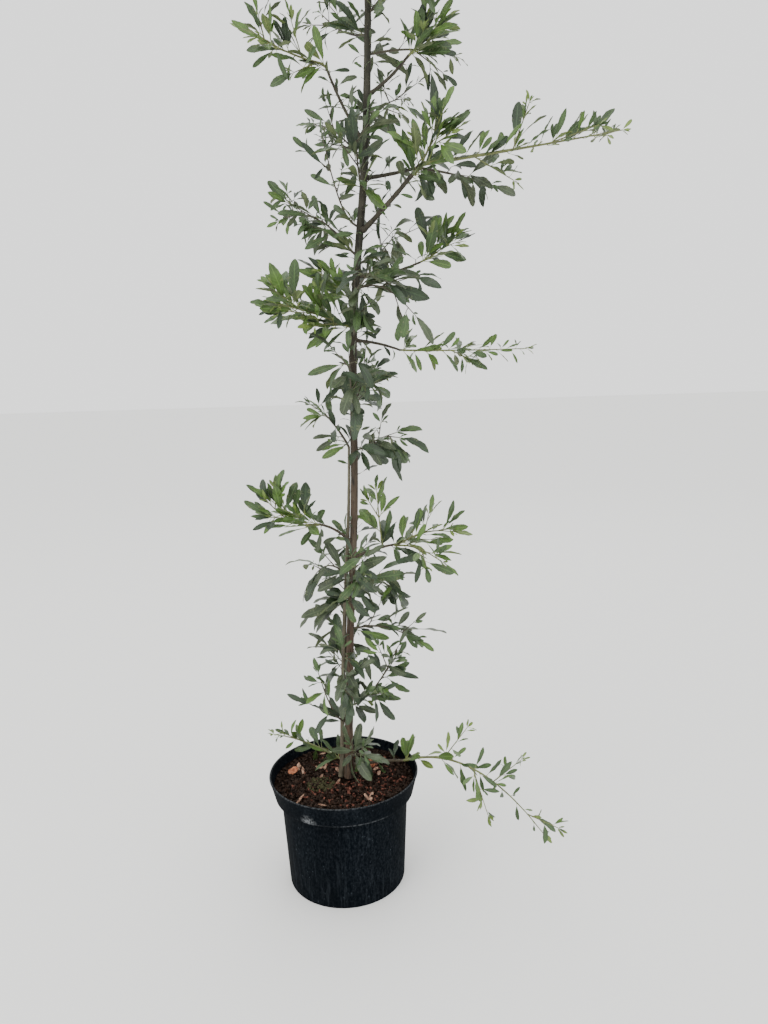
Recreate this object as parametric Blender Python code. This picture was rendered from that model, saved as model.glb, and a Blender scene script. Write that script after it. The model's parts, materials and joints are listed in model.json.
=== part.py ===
"""A potted orange glow firethorn: a slim trunk with a thinner stem beside it, short boughs, masses of
twigs and leaves, and the filled nursery pot that they stand in.

Metres, +Z up. The origin is the centre of the pot's flat underside, +X is the viewer's right, and +Y runs
away from the viewer.
"""

import math
import random
from dataclasses import dataclass

import bmesh
import bpy
from mathutils import Matrix, Vector, kdtree
from mathutils.bvhtree import BVHTree

# Clearances
GAP = 0.0003
WELD = 0.0000003
FAULT_REACH = 0.006
LEAF_CLEARANCE = 0.0010
TWIG_CLEARANCE = 0.0030

# Pot: a round three-litre container whose rim flares out as a band
POT_HEIGHT = 0.147
POT_RIM_RADIUS = 0.0972
POT_BAND_HEIGHT = 0.0265
POT_BAND_RADIUS = 0.0905
POT_NECK_RADIUS = 0.0832
POT_BASE_RADIUS = 0.0762
POT_WALL = 0.0020
POT_FLOOR = 0.0030
POT_EDGE = 0.0012
POT_SIDES = 40
POT_SHARP = math.radians(35)
RIM_CLEARANCE = 0.003

# Soil, a little uneven, with a flat place round the foot of the stems
SOIL_HEIGHT = 0.1360
SOIL_FLAT_RADIUS = 0.019
SOIL_ROUGHNESS = 0.0022
SOIL_WANDER = 0.06
SOIL_SIDES = 24
SOIL_TOP_RINGS = 3

# Trunk: (height, x, y) of its bends and (height, radius) of its taper
TRUNK_BENDS = (
    (0.136, 0.0070, 0.000),
    (0.300, 0.0135, 0.002),
    (0.500, 0.0268, -0.002),
    (0.720, 0.0338, 0.002),
    (0.900, 0.0533, 0.000),
    (1.070, 0.0624, -0.002),
    (1.310, 0.0680, 0.001),
)
TRUNK_TAPER = (
    (0.136, 0.0068),
    (0.160, 0.0054),
    (0.300, 0.0048),
    (0.600, 0.0045),
    (0.870, 0.0045),
    (0.960, 0.0041),
    (1.060, 0.0037),
    (1.310, 0.0012),
)
TRUNK_STEP = 0.042
TRUNK_SIDES = 10

# Second stem: it runs up beside the trunk, on this bearing from it
SECOND_BEARING = 168.0
SECOND_TOP = 0.590
SECOND_TAPER = ((0.136, 0.0040), (0.160, 0.0031), (0.400, 0.0025), (0.590, 0.0014))
SECOND_SPACING = 0.0006
SECOND_SIDES = 7

# Boughs and the stems of the masses; one that leaves its parent flatter than the cosine first steps outwards
BOUGH_SIDES = 6
STEM_SIDES = 3
BOUGH_STEP = 0.016
STEM_STEP = 0.024
LIMB_SEGMENTS = 4
BOUGH_TIP_SHARE = 0.72
STEM_TIP_RADIUS = 0.0005
LEAVING_COSINE = 0.62
ELBOW_RADII = 1.6

# Side twigs, spaced along a stem and shorter towards its tip
TWIG_SIDES = 3
TWIG_ROOT_RADIUS = 0.0008
TWIG_TIP_RADIUS = 0.00045
TWIG_SPREAD = math.radians(52)
TWIG_LIFT = 0.35
TWIG_SHARE = (0.34, 0.55)
TWIG_FADE = 0.4
TWIG_LONGEST = 0.058
TWIG_JITTER = 0.3
TWIG_ATTEMPTS = 4
TWIG_ROOT_SAMPLES = 3
GOLDEN_ANGLE = math.radians(137.5)

# Leaves: long and narrow, widest beyond the middle
LEAF_LENGTH = (0.031, 0.049)
LEAF_WIDTH_SHARE = 0.30
LEAF_THICKNESS_SHARE = 0.036
LEAF_WIDEST = 0.58
LEAF_CREST = 0.50
LEAF_HALF_OUTLINE = ((0.14, 0.25), (0.34, 0.6), (LEAF_WIDEST, 1.0), (0.8, 0.5))
LEAF_DROOP = 0.10
LEAF_ROLL = 0.55
LEAF_SUNK = 0.0005
LEAF_SPACING = 0.0145
LEAF_TURN_JITTER = 0.3
LEAF_ATTEMPTS = 4
LEAF_TURN = 2.1
LINE_STEP = 0.0025
LOWEST_LEAF = 0.006

# The stretch without leaves at the start of a stem, of one that leaves a limb's side, and of a twig
STEM_BARE = 0.006
STEM_BARE_SHARE = 0.10
TWIG_BARE = 0.010
LINE_END = 0.006

# How much of its last leaf a mass's reach takes in, and how far that leaf leans off its line
TIP_LEAF_SHARE = 0.6
TIP_LEAF_LEAN = 0.35

# The free upper part of the crown: shoots dealt round the leader by the golden angle
TOP_SHOOTS = 5
TOP_FIRST_HEIGHT = 1.095
TOP_SPACING = 0.044
TOP_FIRST_BEARING = 215.0
TOP_REACH = (0.105, 0.055)
TOP_RISE = (0.030, 0.052)
TOP_BOW = -0.004
TOP_RADIUS = 0.0011
TOP_TWIGS = (2, 2, 2, 1, 1)
LEADER_BEARING = 60.0
LEADER_REACH = 0.006
LEADER_RISE = 0.075


@dataclass(frozen=True)
class Habit:
    """How the leaves of a mass stand.

    Lift leans them up, or down where it is negative, spread is the least and greatest angle between a leaf
    and its twig, and tip_size is the size of the last leaf as a share of the first.
    """

    lift: float
    spread: tuple
    tip_size: float
    finish: tuple


HANGING = Habit(-0.55, (math.radians(45), math.radians(75)), 0.75, ((0.070, 0.110, 0.075), 0.55, 0.0))
SPREADING = Habit(-0.08, (math.radians(38), math.radians(66)), 0.65, ((0.045, 0.105, 0.045), 0.50, 0.0))
FRESH = Habit(0.28, (math.radians(35), math.radians(60)), 0.60, ((0.090, 0.190, 0.045), 0.48, 0.0))
SLENDER = Habit(0.12, (math.radians(32), math.radians(58)), 0.30, ((0.110, 0.200, 0.060), 0.48, 0.0))


@dataclass(frozen=True)
class Shoot:
    """A limb by its place and its size.

    `at` is a height on the trunk or the second stem, or a share of a bough's length. The bearing runs from
    +X round to +Y in degrees. Reach and rise run from the parent's axis to the tip, and bow is how far the
    middle lies above the straight line between them.
    """

    name: str
    parent: str
    at: float
    bearing: float
    reach: float
    rise: float
    bow: float
    radius: float
    twigs: int = 0
    habit: Habit = SPREADING


BOUGHS = (
    Shoot("bough_low_right", "trunk", 0.152, 4, 0.072, 0.002, 0.002, 0.0023),
    Shoot("bough_right_mid", "trunk", 0.434, 1, 0.059, 0.014, 0.002, 0.0019),
    Shoot("bough_left_mid", "trunk", 0.454, -150, 0.046, 0.026, 0.004, 0.0019),
    Shoot("bough_right_long", "trunk", 0.697, 3, 0.056, -0.013, 0.002, 0.0018),
    Shoot("bough_right_shelf", "trunk", 0.771, 13, 0.079, 0.016, -0.004, 0.0018),
    Shoot("bough_stout", "trunk", 0.822, -34, 0.083, 0.058, -0.002, 0.0031),
    Shoot("bough_fork", "trunk", 0.880, 25, 0.070, 0.016, -0.001, 0.0024),
    Shoot("bough_left_high", "trunk", 0.921, -167, 0.043, 0.074, -0.006, 0.0019),
    Shoot("bough_right_high", "trunk", 0.969, 1, 0.048, 0.038, -0.003, 0.0021),
)

FOLIAGE = (
    Shoot("low_right", "bough_low_right", 1.0, -10, 0.186, -0.094, 0.040, 0.0018, 4, SLENDER),
    Shoot("low_left", "second_stem", 0.160, 154, 0.112, 0.016, 0.006, 0.0014, 2, SLENDER),
    Shoot("foot_front", "trunk", 0.170, -64, 0.058, 0.034, -0.006, 0.0013, 2, HANGING),
    Shoot("left_pot", "trunk", 0.213, -150, 0.046, 0.086, -0.016, 0.0013, 2),
    Shoot("right_low", "trunk", 0.236, -25, 0.080, 0.098, -0.014, 0.0014, 3),
    Shoot("front_low", "trunk", 0.250, -95, 0.050, 0.090, -0.018, 0.0013, 3, HANGING),
    Shoot("back_low", "trunk", 0.262, 96, 0.052, 0.090, -0.018, 0.0013, 3, HANGING),
    Shoot("right_low_upper", "trunk", 0.340, -17, 0.096, -0.010, 0.009, 0.0014, 3),
    Shoot("left_low", "second_stem", 0.368, 150, 0.042, -0.016, 0.010, 0.0012, 1, HANGING),
    Shoot("right_mid_low", "trunk", 0.390, 43, 0.092, -0.027, 0.018, 0.0013, 2, HANGING),
    Shoot("left_mid_low", "second_stem", 0.412, 178, 0.060, -0.014, 0.016, 0.0012, 2, HANGING),
    Shoot("front_mid", "trunk", 0.374, -84, 0.054, 0.080, -0.016, 0.0013, 3, HANGING),
    Shoot("left_mid", "bough_left_mid", 1.0, -160, 0.074, 0.040, -0.012, 0.0016, 4, FRESH),
    Shoot("right_mid", "bough_right_mid", 1.0, 13, 0.080, 0.012, 0.007, 0.0016, 3, FRESH),
    Shoot("right_mid_fork", "bough_right_mid", 0.86, -31, 0.080, -0.019, 0.007, 0.0012, 1, FRESH),
    Shoot("right_mid_up", "bough_right_mid", 0.62, 120, 0.014, 0.082, -0.014, 0.0012, 1, FRESH),
    Shoot("back_mid", "trunk", 0.414, 84, 0.056, 0.052, -0.012, 0.0013, 2),
    Shoot("right_second", "trunk", 0.566, -14, 0.066, 0.026, 0.002, 0.0013, 3, HANGING),
    Shoot("left_upper_mid", "second_stem", 1.0, 162, 0.056, 0.060, 0.008, 0.0014, 2),
    Shoot("front_upper", "trunk", 0.608, -92, 0.050, 0.084, -0.018, 0.0013, 3, HANGING),
    Shoot("back_upper", "trunk", 0.626, 70, 0.056, 0.076, -0.014, 0.0013, 2, HANGING),
    Shoot("left_upper_spur", "trunk", 0.745, 170, 0.048, 0.036, 0.004, 0.0013, 2, FRESH),
    Shoot("right_long", "bough_right_long", 1.0, 5, 0.160, -0.002, -0.001, 0.0014, 1, SLENDER),
    Shoot("right_spur", "trunk", 0.702, -84, 0.054, 0.078, -0.016, 0.0013, 2, HANGING),
    Shoot("left_bright", "trunk", 0.712, -150, 0.110, 0.028, 0.003, 0.0017, 5, FRESH),
    Shoot("right_hang", "trunk", 0.757, -42, 0.100, -0.040, 0.014, 0.0013, 2, HANGING),
    Shoot("right_shelf", "bough_right_shelf", 1.0, 13, 0.052, 0.036, -0.003, 0.0013, 2, FRESH),
    Shoot("back_right", "trunk", 0.786, 62, 0.118, 0.055, -0.007, 0.0014, 4, HANGING),
    Shoot("left_arch", "trunk", 0.795, 160, 0.110, 0.052, 0.022, 0.0015, 4),
    Shoot("left_arch_up", "trunk", 0.826, 176, 0.044, 0.108, -0.022, 0.0013, 2),
    Shoot("bright_cluster", "bough_stout", 0.88, -52, 0.056, 0.056, -0.006, 0.0015, 3, FRESH),
    Shoot("long_top", "bough_stout", 1.0, 6, 0.234, 0.037, -0.001, 0.0022, 4, SLENDER),
    Shoot("low_fork", "bough_fork", 1.0, 0, 0.100, -0.025, 0.002, 0.0016, 2, HANGING),
    Shoot("front_high", "trunk", 0.866, -100, 0.052, 0.080, -0.018, 0.0012, 2),
    Shoot("left_pair", "trunk", 0.898, 142, 0.092, 0.062, 0.012, 0.0013, 3),
    Shoot("back_top", "trunk", 0.941, 62, 0.108, 0.055, 0.006, 0.0014, 4),
    Shoot("left_high", "bough_left_high", 1.0, -168, 0.088, 0.030, -0.002, 0.0017, 5, FRESH),
    Shoot("right_high", "bough_right_high", 1.0, 0, 0.040, 0.042, -0.002, 0.0015, 3, FRESH),
    Shoot("right_flat", "trunk", 1.010, 25, 0.124, 0.014, 0.006, 0.0014, 3),
    Shoot("back_left_top", "trunk", 1.030, 132, 0.090, 0.052, -0.008, 0.0013, 3),
    Shoot("top_arch", "trunk", 1.052, -30, 0.100, 0.014, 0.018, 0.0013, 3),
)

# Finishes: colour, roughness, metallic
POT_FINISH = ((0.020, 0.025, 0.032), 0.55, 0.0)
SOIL_FINISH = ((0.045, 0.026, 0.017), 0.95, 0.0)
BARK_FINISH = ((0.120, 0.085, 0.060), 0.85, 0.0)


def value_at(table, height):
    """The value between a table's (height, value) rows, by straight lines."""
    for (low, first), (high, last) in zip(table, table[1:]):
        if height <= high:
            share = max(0.0, (height - low) / (high - low))
            return first + (last - first) * share
    return table[-1][1]


def bend_at(height):
    """The trunk's axis at a height, on a smooth curve through its bends."""
    last = len(TRUNK_BENDS) - 1
    i = sum(row[0] <= height for row in TRUNK_BENDS) - 1
    i = min(max(i, 0), last - 1)
    before, start, end, after = (TRUNK_BENDS[min(max(i + k, 0), last)] for k in (-1, 0, 1, 2))
    t = (height - start[0]) / (end[0] - start[0])
    point = []
    for a, b, c, d in zip(before[1:], start[1:], end[1:], after[1:]):
        cubic = (3 * b - a - 3 * c + d) * t**3
        square = (2 * a - 5 * b + 4 * c - d) * t**2
        point.append(0.5 * (2 * b + (c - a) * t + square + cubic))
    return Vector((point[0], point[1], height))


def on_bearing(degrees):
    """The level unit vector on a bearing."""
    return Vector((math.cos(math.radians(degrees)), math.sin(math.radians(degrees)), 0.0))


def across(direction):
    """Two unit vectors square to a direction and to each other."""
    helper = Vector((0, 0, 1)) if abs(direction.z) < 0.9 else Vector((1, 0, 0))
    u = direction.cross(helper).normalized()
    return u, direction.cross(u).normalized()


class Limb:
    """A tapering limb: the points of its axis, the radius at each, and the plane that its root is cut by."""

    def __init__(self, points, radii, root_face, sides):
        self.points = points
        self.radii = radii
        self.root_face = root_face
        self.sides = sides
        self.reached = [0.0]
        for start, end in zip(points, points[1:]):
            self.reached.append(self.reached[-1] + (end - start).length)
        self.length = self.reached[-1]

    def at(self, distance):
        """The axis point, its direction and the radius at a distance from the root."""
        i = 0
        while i < len(self.points) - 2 and self.reached[i + 1] < distance:
            i += 1
        step = self.points[i + 1] - self.points[i]
        share = (distance - self.reached[i]) / step.length
        share = min(max(share, 0.0), 1.0)
        radius = self.radii[i] + (self.radii[i + 1] - self.radii[i]) * share
        return self.points[i] + step * share, step.normalized(), radius

    def at_height(self, height):
        """The same at a height, on a limb that climbs all the way."""
        for i, (start, end) in enumerate(zip(self.points, self.points[1:])):
            if end.z >= height:
                share = (height - start.z) / (end.z - start.z)
                return self.at(self.reached[i] + share * (end - start).length)
        return self.at(self.length)

    def samples(self, step):
        """Points along the axis, this far apart or less, with the radius at each."""
        count = max(2, math.ceil(self.length / step))
        rows = (self.at(self.length * i / count) for i in range(count + 1))
        return [(point, radius) for point, _, radius in rows]

    def ring(self, i):
        """The corners of the cut across the axis at one of its points."""
        last = len(self.points) - 1
        ahead = (self.points[min(i + 1, last)] - self.points[min(i, last - 1)]).normalized()
        behind = (self.points[max(i, 1)] - self.points[max(i, 1) - 1]).normalized()
        face = self.root_face if i == 0 else (ahead + behind).normalized()
        along = ahead if i == 0 else behind
        u, v = across(along)
        corners = []
        for k in range(self.sides):
            turn = 2 * math.pi * k / self.sides
            offset = (u * math.cos(turn) + v * math.sin(turn)) * self.radii[i]
            offset -= along * (offset.dot(face) / along.dot(face))
            corners.append(self.points[i] + offset)
        return corners


def aligned(ring, previous):
    """The ring's corners, started at the one that continues the previous ring with the least twist."""

    def twist(shift):
        return sum((ring[(k + shift) % len(ring)] - previous[k]).length for k in range(len(ring)))

    best = min(range(len(ring)), key=twist)
    return ring[best:] + ring[:best]


def new_object(name, mesh_builder, finish=None):
    """A named object whose mesh the builder fills in."""
    bm = bmesh.new()
    mesh_builder(bm)
    bmesh.ops.recalc_face_normals(bm, faces=bm.faces)
    mesh = bpy.data.meshes.new(name)
    bm.to_mesh(mesh)
    bm.free()
    made = bpy.data.objects.new(name, mesh)
    bpy.context.scene.collection.objects.link(made)
    if finish:
        dress(made, finish)
    return made


def dress(made, finish):
    """Gives an object its own plain material."""
    colour, roughness, metallic = finish
    material = bpy.data.materials.new(made.name)
    material.use_nodes = True
    shader = material.node_tree.nodes["Principled BSDF"]
    shader.inputs["Base Color"].default_value = (*colour, 1.0)
    shader.inputs["Roughness"].default_value = roughness
    shader.inputs["Metallic"].default_value = metallic
    made.data.materials.clear()
    made.data.materials.append(material)


def add_rings(bm, rings):
    """Joins rings of corners into a closed skin with flat ends."""
    rows = [[bm.verts.new(corner) for corner in ring] for ring in rings]
    for low, high in zip(rows, rows[1:]):
        for k in range(len(low)):
            following = (k + 1) % len(low)
            bm.faces.new((low[k], low[following], high[following], high[k]))
    bm.faces.new(reversed(rows[0]))
    bm.faces.new(rows[-1])


def limb_builder(limb):
    """A mesh builder for a limb's skin."""
    rings = [limb.ring(0)]
    for i in range(1, len(limb.points)):
        rings.append(aligned(limb.ring(i), rings[-1]))
    return lambda bm: add_rings(bm, rings)


def skin_tree(mesh_builder):
    """A search tree of a skin's faces, to test what crosses it."""
    bm = bmesh.new()
    mesh_builder(bm)
    found = BVHTree.FromBMesh(bm)
    bm.free()
    return found


def turned_builder(profile, sides):
    """A mesh builder that turns a closed (radius, height) profile round +Z; its ends lie on the axis."""

    def build(bm):
        verts = [bm.verts.new((radius, 0.0, height)) for radius, height in profile]
        edges = [bm.edges.new(pair) for pair in zip(verts, verts[1:])]
        bmesh.ops.spin(
            bm,
            geom=verts + edges,
            cent=(0, 0, 0),
            axis=(0, 0, 1),
            angle=2 * math.pi,
            steps=sides,
            use_merge=True,
        )
        bmesh.ops.remove_doubles(bm, verts=bm.verts, dist=1e-6)

    return build


def pot_profile():
    """Half of the pot's section, from the centre of its underside round to the centre of its floor."""
    neck = POT_HEIGHT - POT_BAND_HEIGHT
    return (
        (0.0, 0.0),
        (POT_BASE_RADIUS - POT_EDGE, 0.0),
        (POT_BASE_RADIUS, POT_EDGE),
        (POT_NECK_RADIUS, neck - POT_EDGE),
        (POT_BAND_RADIUS, neck),
        (POT_RIM_RADIUS - POT_EDGE / 2, POT_HEIGHT - 2 * POT_EDGE),
        (POT_RIM_RADIUS, POT_HEIGHT - POT_EDGE),
        (POT_RIM_RADIUS - POT_EDGE / 2, POT_HEIGHT),
        (POT_RIM_RADIUS - POT_WALL, POT_HEIGHT),
        (POT_BAND_RADIUS - POT_WALL, neck + POT_EDGE),
        (POT_NECK_RADIUS - POT_WALL, neck - POT_EDGE),
        (POT_BASE_RADIUS - POT_WALL, POT_FLOOR),
        (0.0, POT_FLOOR),
    )


def make_pot():
    """The open pot, shaded smooth but for its edges."""
    pot = new_object("pot", turned_builder(pot_profile(), POT_SIDES), POT_FINISH)
    pot.data.shade_smooth()
    pot.data.set_sharp_from_angle(angle=POT_SHARP)
    return pot


def soil_radius(height):
    """The soil's radius at a height, just clear of the pot's wall and of the wall's flat sides."""
    neck = POT_HEIGHT - POT_BAND_HEIGHT
    wall = (
        (POT_FLOOR, POT_BASE_RADIUS),
        (neck - POT_EDGE, POT_NECK_RADIUS),
        (neck + POT_EDGE, POT_BAND_RADIUS),
        (POT_HEIGHT, POT_RIM_RADIUS),
    )
    flats = math.cos(math.pi / POT_SIDES)
    return (value_at(wall, height) - POT_WALL) * flats - GAP


def make_soil():
    """The soil that fills the pot, lumpy on top and flat under the stems."""
    rng = random.Random("soil")
    bottom = POT_FLOOR + GAP
    neck = POT_HEIGHT - POT_BAND_HEIGHT
    edge = SOIL_HEIGHT - SOIL_ROUGHNESS
    heights = (bottom, neck - POT_EDGE, neck + POT_EDGE, edge)
    turns = [2 * math.pi * k / SOIL_SIDES for k in range(SOIL_SIDES)]
    rings = []
    for height in heights:
        radius = soil_radius(height)
        rings.append([Vector((radius * math.cos(a), radius * math.sin(a), height)) for a in turns])
    for i in range(1, SOIL_TOP_RINGS + 1):
        share = i / SOIL_TOP_RINGS
        radius = soil_radius(edge) * (1 - share) + SOIL_FLAT_RADIUS * share
        ring = []
        for a in turns:
            lump = 0.0 if i == SOIL_TOP_RINGS else rng.uniform(-SOIL_ROUGHNESS, 0.0)
            turn = a if i == SOIL_TOP_RINGS else a + rng.uniform(-SOIL_WANDER, SOIL_WANDER)
            ring.append(Vector((radius * math.cos(turn), radius * math.sin(turn), SOIL_HEIGHT + lump)))
        rings.append(ring)
    return new_object("soil", lambda bm: add_rings(bm, rings), SOIL_FINISH)


def climb(bottom, top, step):
    """Heights from bottom to top in even steps."""
    count = math.ceil((top - bottom) / step)
    return [bottom + (top - bottom) * i / count for i in range(count + 1)]


def trunk_limb():
    """The trunk from its flat cut above the soil to its tip, with a knot at each end of the root flare."""
    bottom = SOIL_HEIGHT + GAP
    flare_top = TRUNK_TAPER[1][0]
    heights = [bottom, (bottom + flare_top) / 2] + climb(flare_top, TRUNK_TAPER[-1][0], TRUNK_STEP)
    points = [bend_at(height) for height in heights]
    radii = [value_at(TRUNK_TAPER, height) for height in heights]
    return Limb(points, radii, Vector((0, 0, 1)), TRUNK_SIDES)


def second_limb(trunk):
    """The second stem, which keeps just clear of the trunk all the way up."""
    side = on_bearing(SECOND_BEARING)
    points = []
    radii = []
    for point, radius in zip(trunk.points, trunk.radii):
        if point.z > SECOND_TOP:
            break
        own = value_at(SECOND_TAPER, point.z)
        points.append(point + side * (radius + own + SECOND_SPACING))
        radii.append(own)
    return Limb(points, radii, Vector((0, 0, 1)), SECOND_SIDES)


def shoot_limb(shoot, parents, sides, step, tip_radius, held_back=0.0):
    """The limb of a shoot from just clear of its parent to its tip, or to a little before it.

    A shoot at its parent's end carries straight on from it; any other leaves the parent's side, and one that
    would leave too flatly first takes a short step outwards.
    """
    parent = parents[shoot.parent]
    if shoot.parent in ("trunk", "second_stem") and shoot.at != 1.0:
        centre, along, radius = parent.at_height(shoot.at)
    else:
        centre, along, radius = parent.at(shoot.at * parent.length)
    level = on_bearing(shoot.bearing)
    tip = centre + level * shoot.reach + Vector((0, 0, shoot.rise))
    tip -= (tip - centre).normalized() * held_back
    lift = Vector((0, 0, 4 * shoot.bow))
    heading = tip - centre + lift
    if shoot.at == 1.0:
        face = along
        root = centre + along * GAP
        own_radius = radius
    else:
        face = (level - along * level.dot(along)).normalized()
        root = centre + face * (radius + GAP)
        own_radius = shoot.radius
    count = max(LIMB_SEGMENTS, math.ceil((tip - root).length / step))
    points = [root]
    if heading.normalized().dot(face) < LEAVING_COSINE:
        points.append(root + face * (ELBOW_RADII * own_radius))
    for i in range(1, count + 1):
        t = i / count
        points.append(root.lerp(tip, t) + lift * (t * (1 - t)))
    limb = Limb(points, [], face, sides)
    limb.radii = [own_radius + (tip_radius - own_radius) * reached / limb.length for reached in limb.reached]
    return limb


def bough_limb(bough, limbs):
    """A bough, which ends where its mass of foliage takes over."""
    return shoot_limb(bough, limbs, BOUGH_SIDES, BOUGH_STEP, bough.radius * BOUGH_TIP_SHARE)


def stem_limb(shoot, limbs):
    """The stem of a mass of foliage, which stops short for the leaf at its tip."""
    held_back = TIP_LEAF_SHARE * LEAF_LENGTH[0] * shoot.habit.tip_size
    return shoot_limb(shoot, limbs, STEM_SIDES, STEM_STEP, STEM_TIP_RADIUS, held_back)


def all_shoots():
    """The masses of foliage from the table, then the shoots round the leader and the leader's own tip."""
    rows = list(FOLIAGE)
    for i in range(TOP_SHOOTS):
        share = i / (TOP_SHOOTS - 1)
        rows.append(
            Shoot(
                f"top_{i + 1}",
                "trunk",
                TOP_FIRST_HEIGHT + TOP_SPACING * i,
                (TOP_FIRST_BEARING + math.degrees(GOLDEN_ANGLE) * i) % 360,
                TOP_REACH[0] + (TOP_REACH[1] - TOP_REACH[0]) * share,
                TOP_RISE[0] + (TOP_RISE[1] - TOP_RISE[0]) * share,
                TOP_BOW,
                TOP_RADIUS,
                TOP_TWIGS[i],
            )
        )
    rows.append(Shoot("leader", "trunk", 1.0, LEADER_BEARING, LEADER_REACH, LEADER_RISE, 0.0, TOP_RADIUS, 2))
    return rows


def turned_away(direction, angle, turn):
    """A direction that leans from another by an angle, towards a turn round it."""
    u, v = across(direction)
    side = u * math.cos(turn) + v * math.sin(turn)
    return direction * math.cos(angle) + side * math.sin(angle)


def twig_limb(stem, share, turn, rng):
    """A straight side twig that leaves a stem from its axis, lifted a little."""
    distance = stem.length * share
    root, along, _ = stem.at(distance)
    heading = turned_away(along, TWIG_SPREAD, turn) + Vector((0, 0, TWIG_LIFT))
    heading.normalize()
    length = (stem.length - TWIG_FADE * distance) * rng.uniform(*TWIG_SHARE)
    length = min(length, TWIG_LONGEST)
    return Limb([root, root + heading * length], [TWIG_ROOT_RADIUS, TWIG_TIP_RADIUS], heading, TWIG_SIDES)


class Space:
    """The room that each limb and each mass of foliage holds."""

    def __init__(self):
        self.limb_rows = []
        self.line_rows = []

    def add_limb(self, limb):
        """A solid limb that nothing may touch."""
        self.limb_rows += limb.samples(LINE_STEP)

    def add_line(self, owner, limb):
        """A stem or twig, whose mass owns the space nearest to it."""
        self.line_rows += [(point, owner) for point, _ in limb.samples(LINE_STEP)]

    def settle(self):
        """Builds the search trees once the lines that they hold are known."""
        self.limb_tree = self.tree([point for point, _ in self.limb_rows])
        self.line_tree = self.tree([point for point, _ in self.line_rows])

    @staticmethod
    def tree(points):
        found = kdtree.KDTree(len(points))
        for i, point in enumerate(points):
            found.insert(point, i)
        found.balance()
        return found

    def limb_distance(self, point):
        """How far a point is from the skin of the nearest limb."""
        _, index, distance = self.limb_tree.find(point)
        return distance - self.limb_rows[index][1]

    def lead(self, owner, point):
        """How much nearer a point is to its own mass's lines than to any other's."""
        own = self.line_tree.find(point, filter=lambda i: self.line_rows[i][1] == owner)
        other = self.line_tree.find(point, filter=lambda i: self.line_rows[i][1] != owner)
        return other[2] - own[2]

    def over_pot(self, point):
        """Whether a point is clear of the ground, the soil, the pot and its rim."""
        if point.z < LOWEST_LEAF:
            return False
        away = math.hypot(point.x, point.y)
        if away < POT_RIM_RADIUS - 2 * RIM_CLEARANCE:
            return point.z > SOIL_HEIGHT + RIM_CLEARANCE
        return point.z > POT_HEIGHT + RIM_CLEARANCE or away > POT_RIM_RADIUS + RIM_CLEARANCE

    def line_fits(self, owner, limb):
        """Whether a side twig keeps clear of every limb and every other mass's lines."""
        for point, _ in limb.samples(LINE_STEP)[TWIG_ROOT_SAMPLES:]:
            if self.limb_distance(point) < TWIG_CLEARANCE or not self.over_pot(point):
                return False
            if self.lead(owner, point) < TWIG_CLEARANCE:
                return False
        return True

    def leaf_fits(self, owner, outline):
        """Whether a leaf stays in its mass's space and touches no limb."""
        for point in outline:
            if self.limb_distance(point) < LEAF_CLEARANCE or not self.over_pot(point):
                return False
            if self.lead(owner, point) < LEAF_CLEARANCE:
                return False
        return True


@dataclass
class Leaf:
    """A leaf by its root, its length, and the frame that it lies in: along, across and up."""

    root: Vector
    length: float
    along: Vector
    side: Vector
    up: Vector

    def point(self, along, side, up):
        """A point given as shares of the leaf's length."""
        droop = Vector((0, 0, -LEAF_DROOP * along * along))
        place = self.along * along + self.side * side + self.up * up + droop
        return self.root + place * self.length

    def corners(self):
        """Root, tip, the two sides, and the crest of the midrib."""
        half_width = LEAF_WIDTH_SHARE / 2
        return (
            self.root - self.along * LEAF_SUNK,
            self.point(1.0, 0.0, 0.0),
            self.point(LEAF_WIDEST, half_width, 0.0),
            self.point(LEAF_WIDEST, -half_width, 0.0),
            self.point(LEAF_CREST, 0.0, LEAF_THICKNESS_SHARE),
        )

    def outline(self):
        """Points round the edge that stand for the leaf when its place is tested."""
        points = [self.point(1.0, 0.0, 0.0)]
        for along, width in LEAF_HALF_OUTLINE:
            for side in (-width, width):
                points.append(self.point(along, side * LEAF_WIDTH_SHARE / 2, 0.0))
        return points

    def distance(self, place):
        """How near its root or its outline comes to a place."""
        return min((point - place).length for point in [self.root] + self.outline())

    def build(self, bm):
        """The leaf's six faces: four that rise to the midrib, and a flat underside."""
        root, tip, left, right, crest = (bm.verts.new(corner) for corner in self.corners())
        for start, end in ((root, left), (left, tip), (tip, right), (right, root)):
            bm.faces.new((start, end, crest))
        bm.faces.new((root, right, left))
        bm.faces.new((left, right, tip))


def make_leaf(line, distance, turn, habit, rng):
    """A leaf that springs from a line at a distance along it, on one side of it."""
    root, along, _ = line.at(distance)
    heading = turned_away(along, rng.uniform(*habit.spread), turn) + Vector((0, 0, habit.lift))
    heading.normalize()
    up = Vector((0, 0, 1)) - heading * heading.z
    if up.length < 0.2:
        up = across(heading)[1]
    up.normalize()
    up = Matrix.Rotation(rng.uniform(-LEAF_ROLL, LEAF_ROLL), 3, heading) @ up
    size = 1 - (1 - habit.tip_size) * (distance / line.length) ** 2
    return Leaf(root, rng.uniform(*LEAF_LENGTH) * size, heading, heading.cross(up).normalized(), up)


def leaf_lines(stem, twigs, starts_bare):
    """The lines that bear leaves, with the stretch at the start of each that has none."""
    bare = max(STEM_BARE, stem.length * STEM_BARE_SHARE) if starts_bare else STEM_BARE
    return [(stem, bare)] + [(twig, TWIG_BARE) for twig in twigs]


def tip_leaf(line, turn, habit, rng):
    """The leaf that carries straight on from the end of a line."""
    leaf = make_leaf(line, line.length, turn, habit, rng)
    _, along, _ = line.at(line.length)
    leaf.along = (leaf.along * TIP_LEAF_LEAN + along).normalized()
    leaf.side = leaf.along.cross(leaf.up).normalized()
    leaf.up = leaf.side.cross(leaf.along).normalized()
    return leaf


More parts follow.
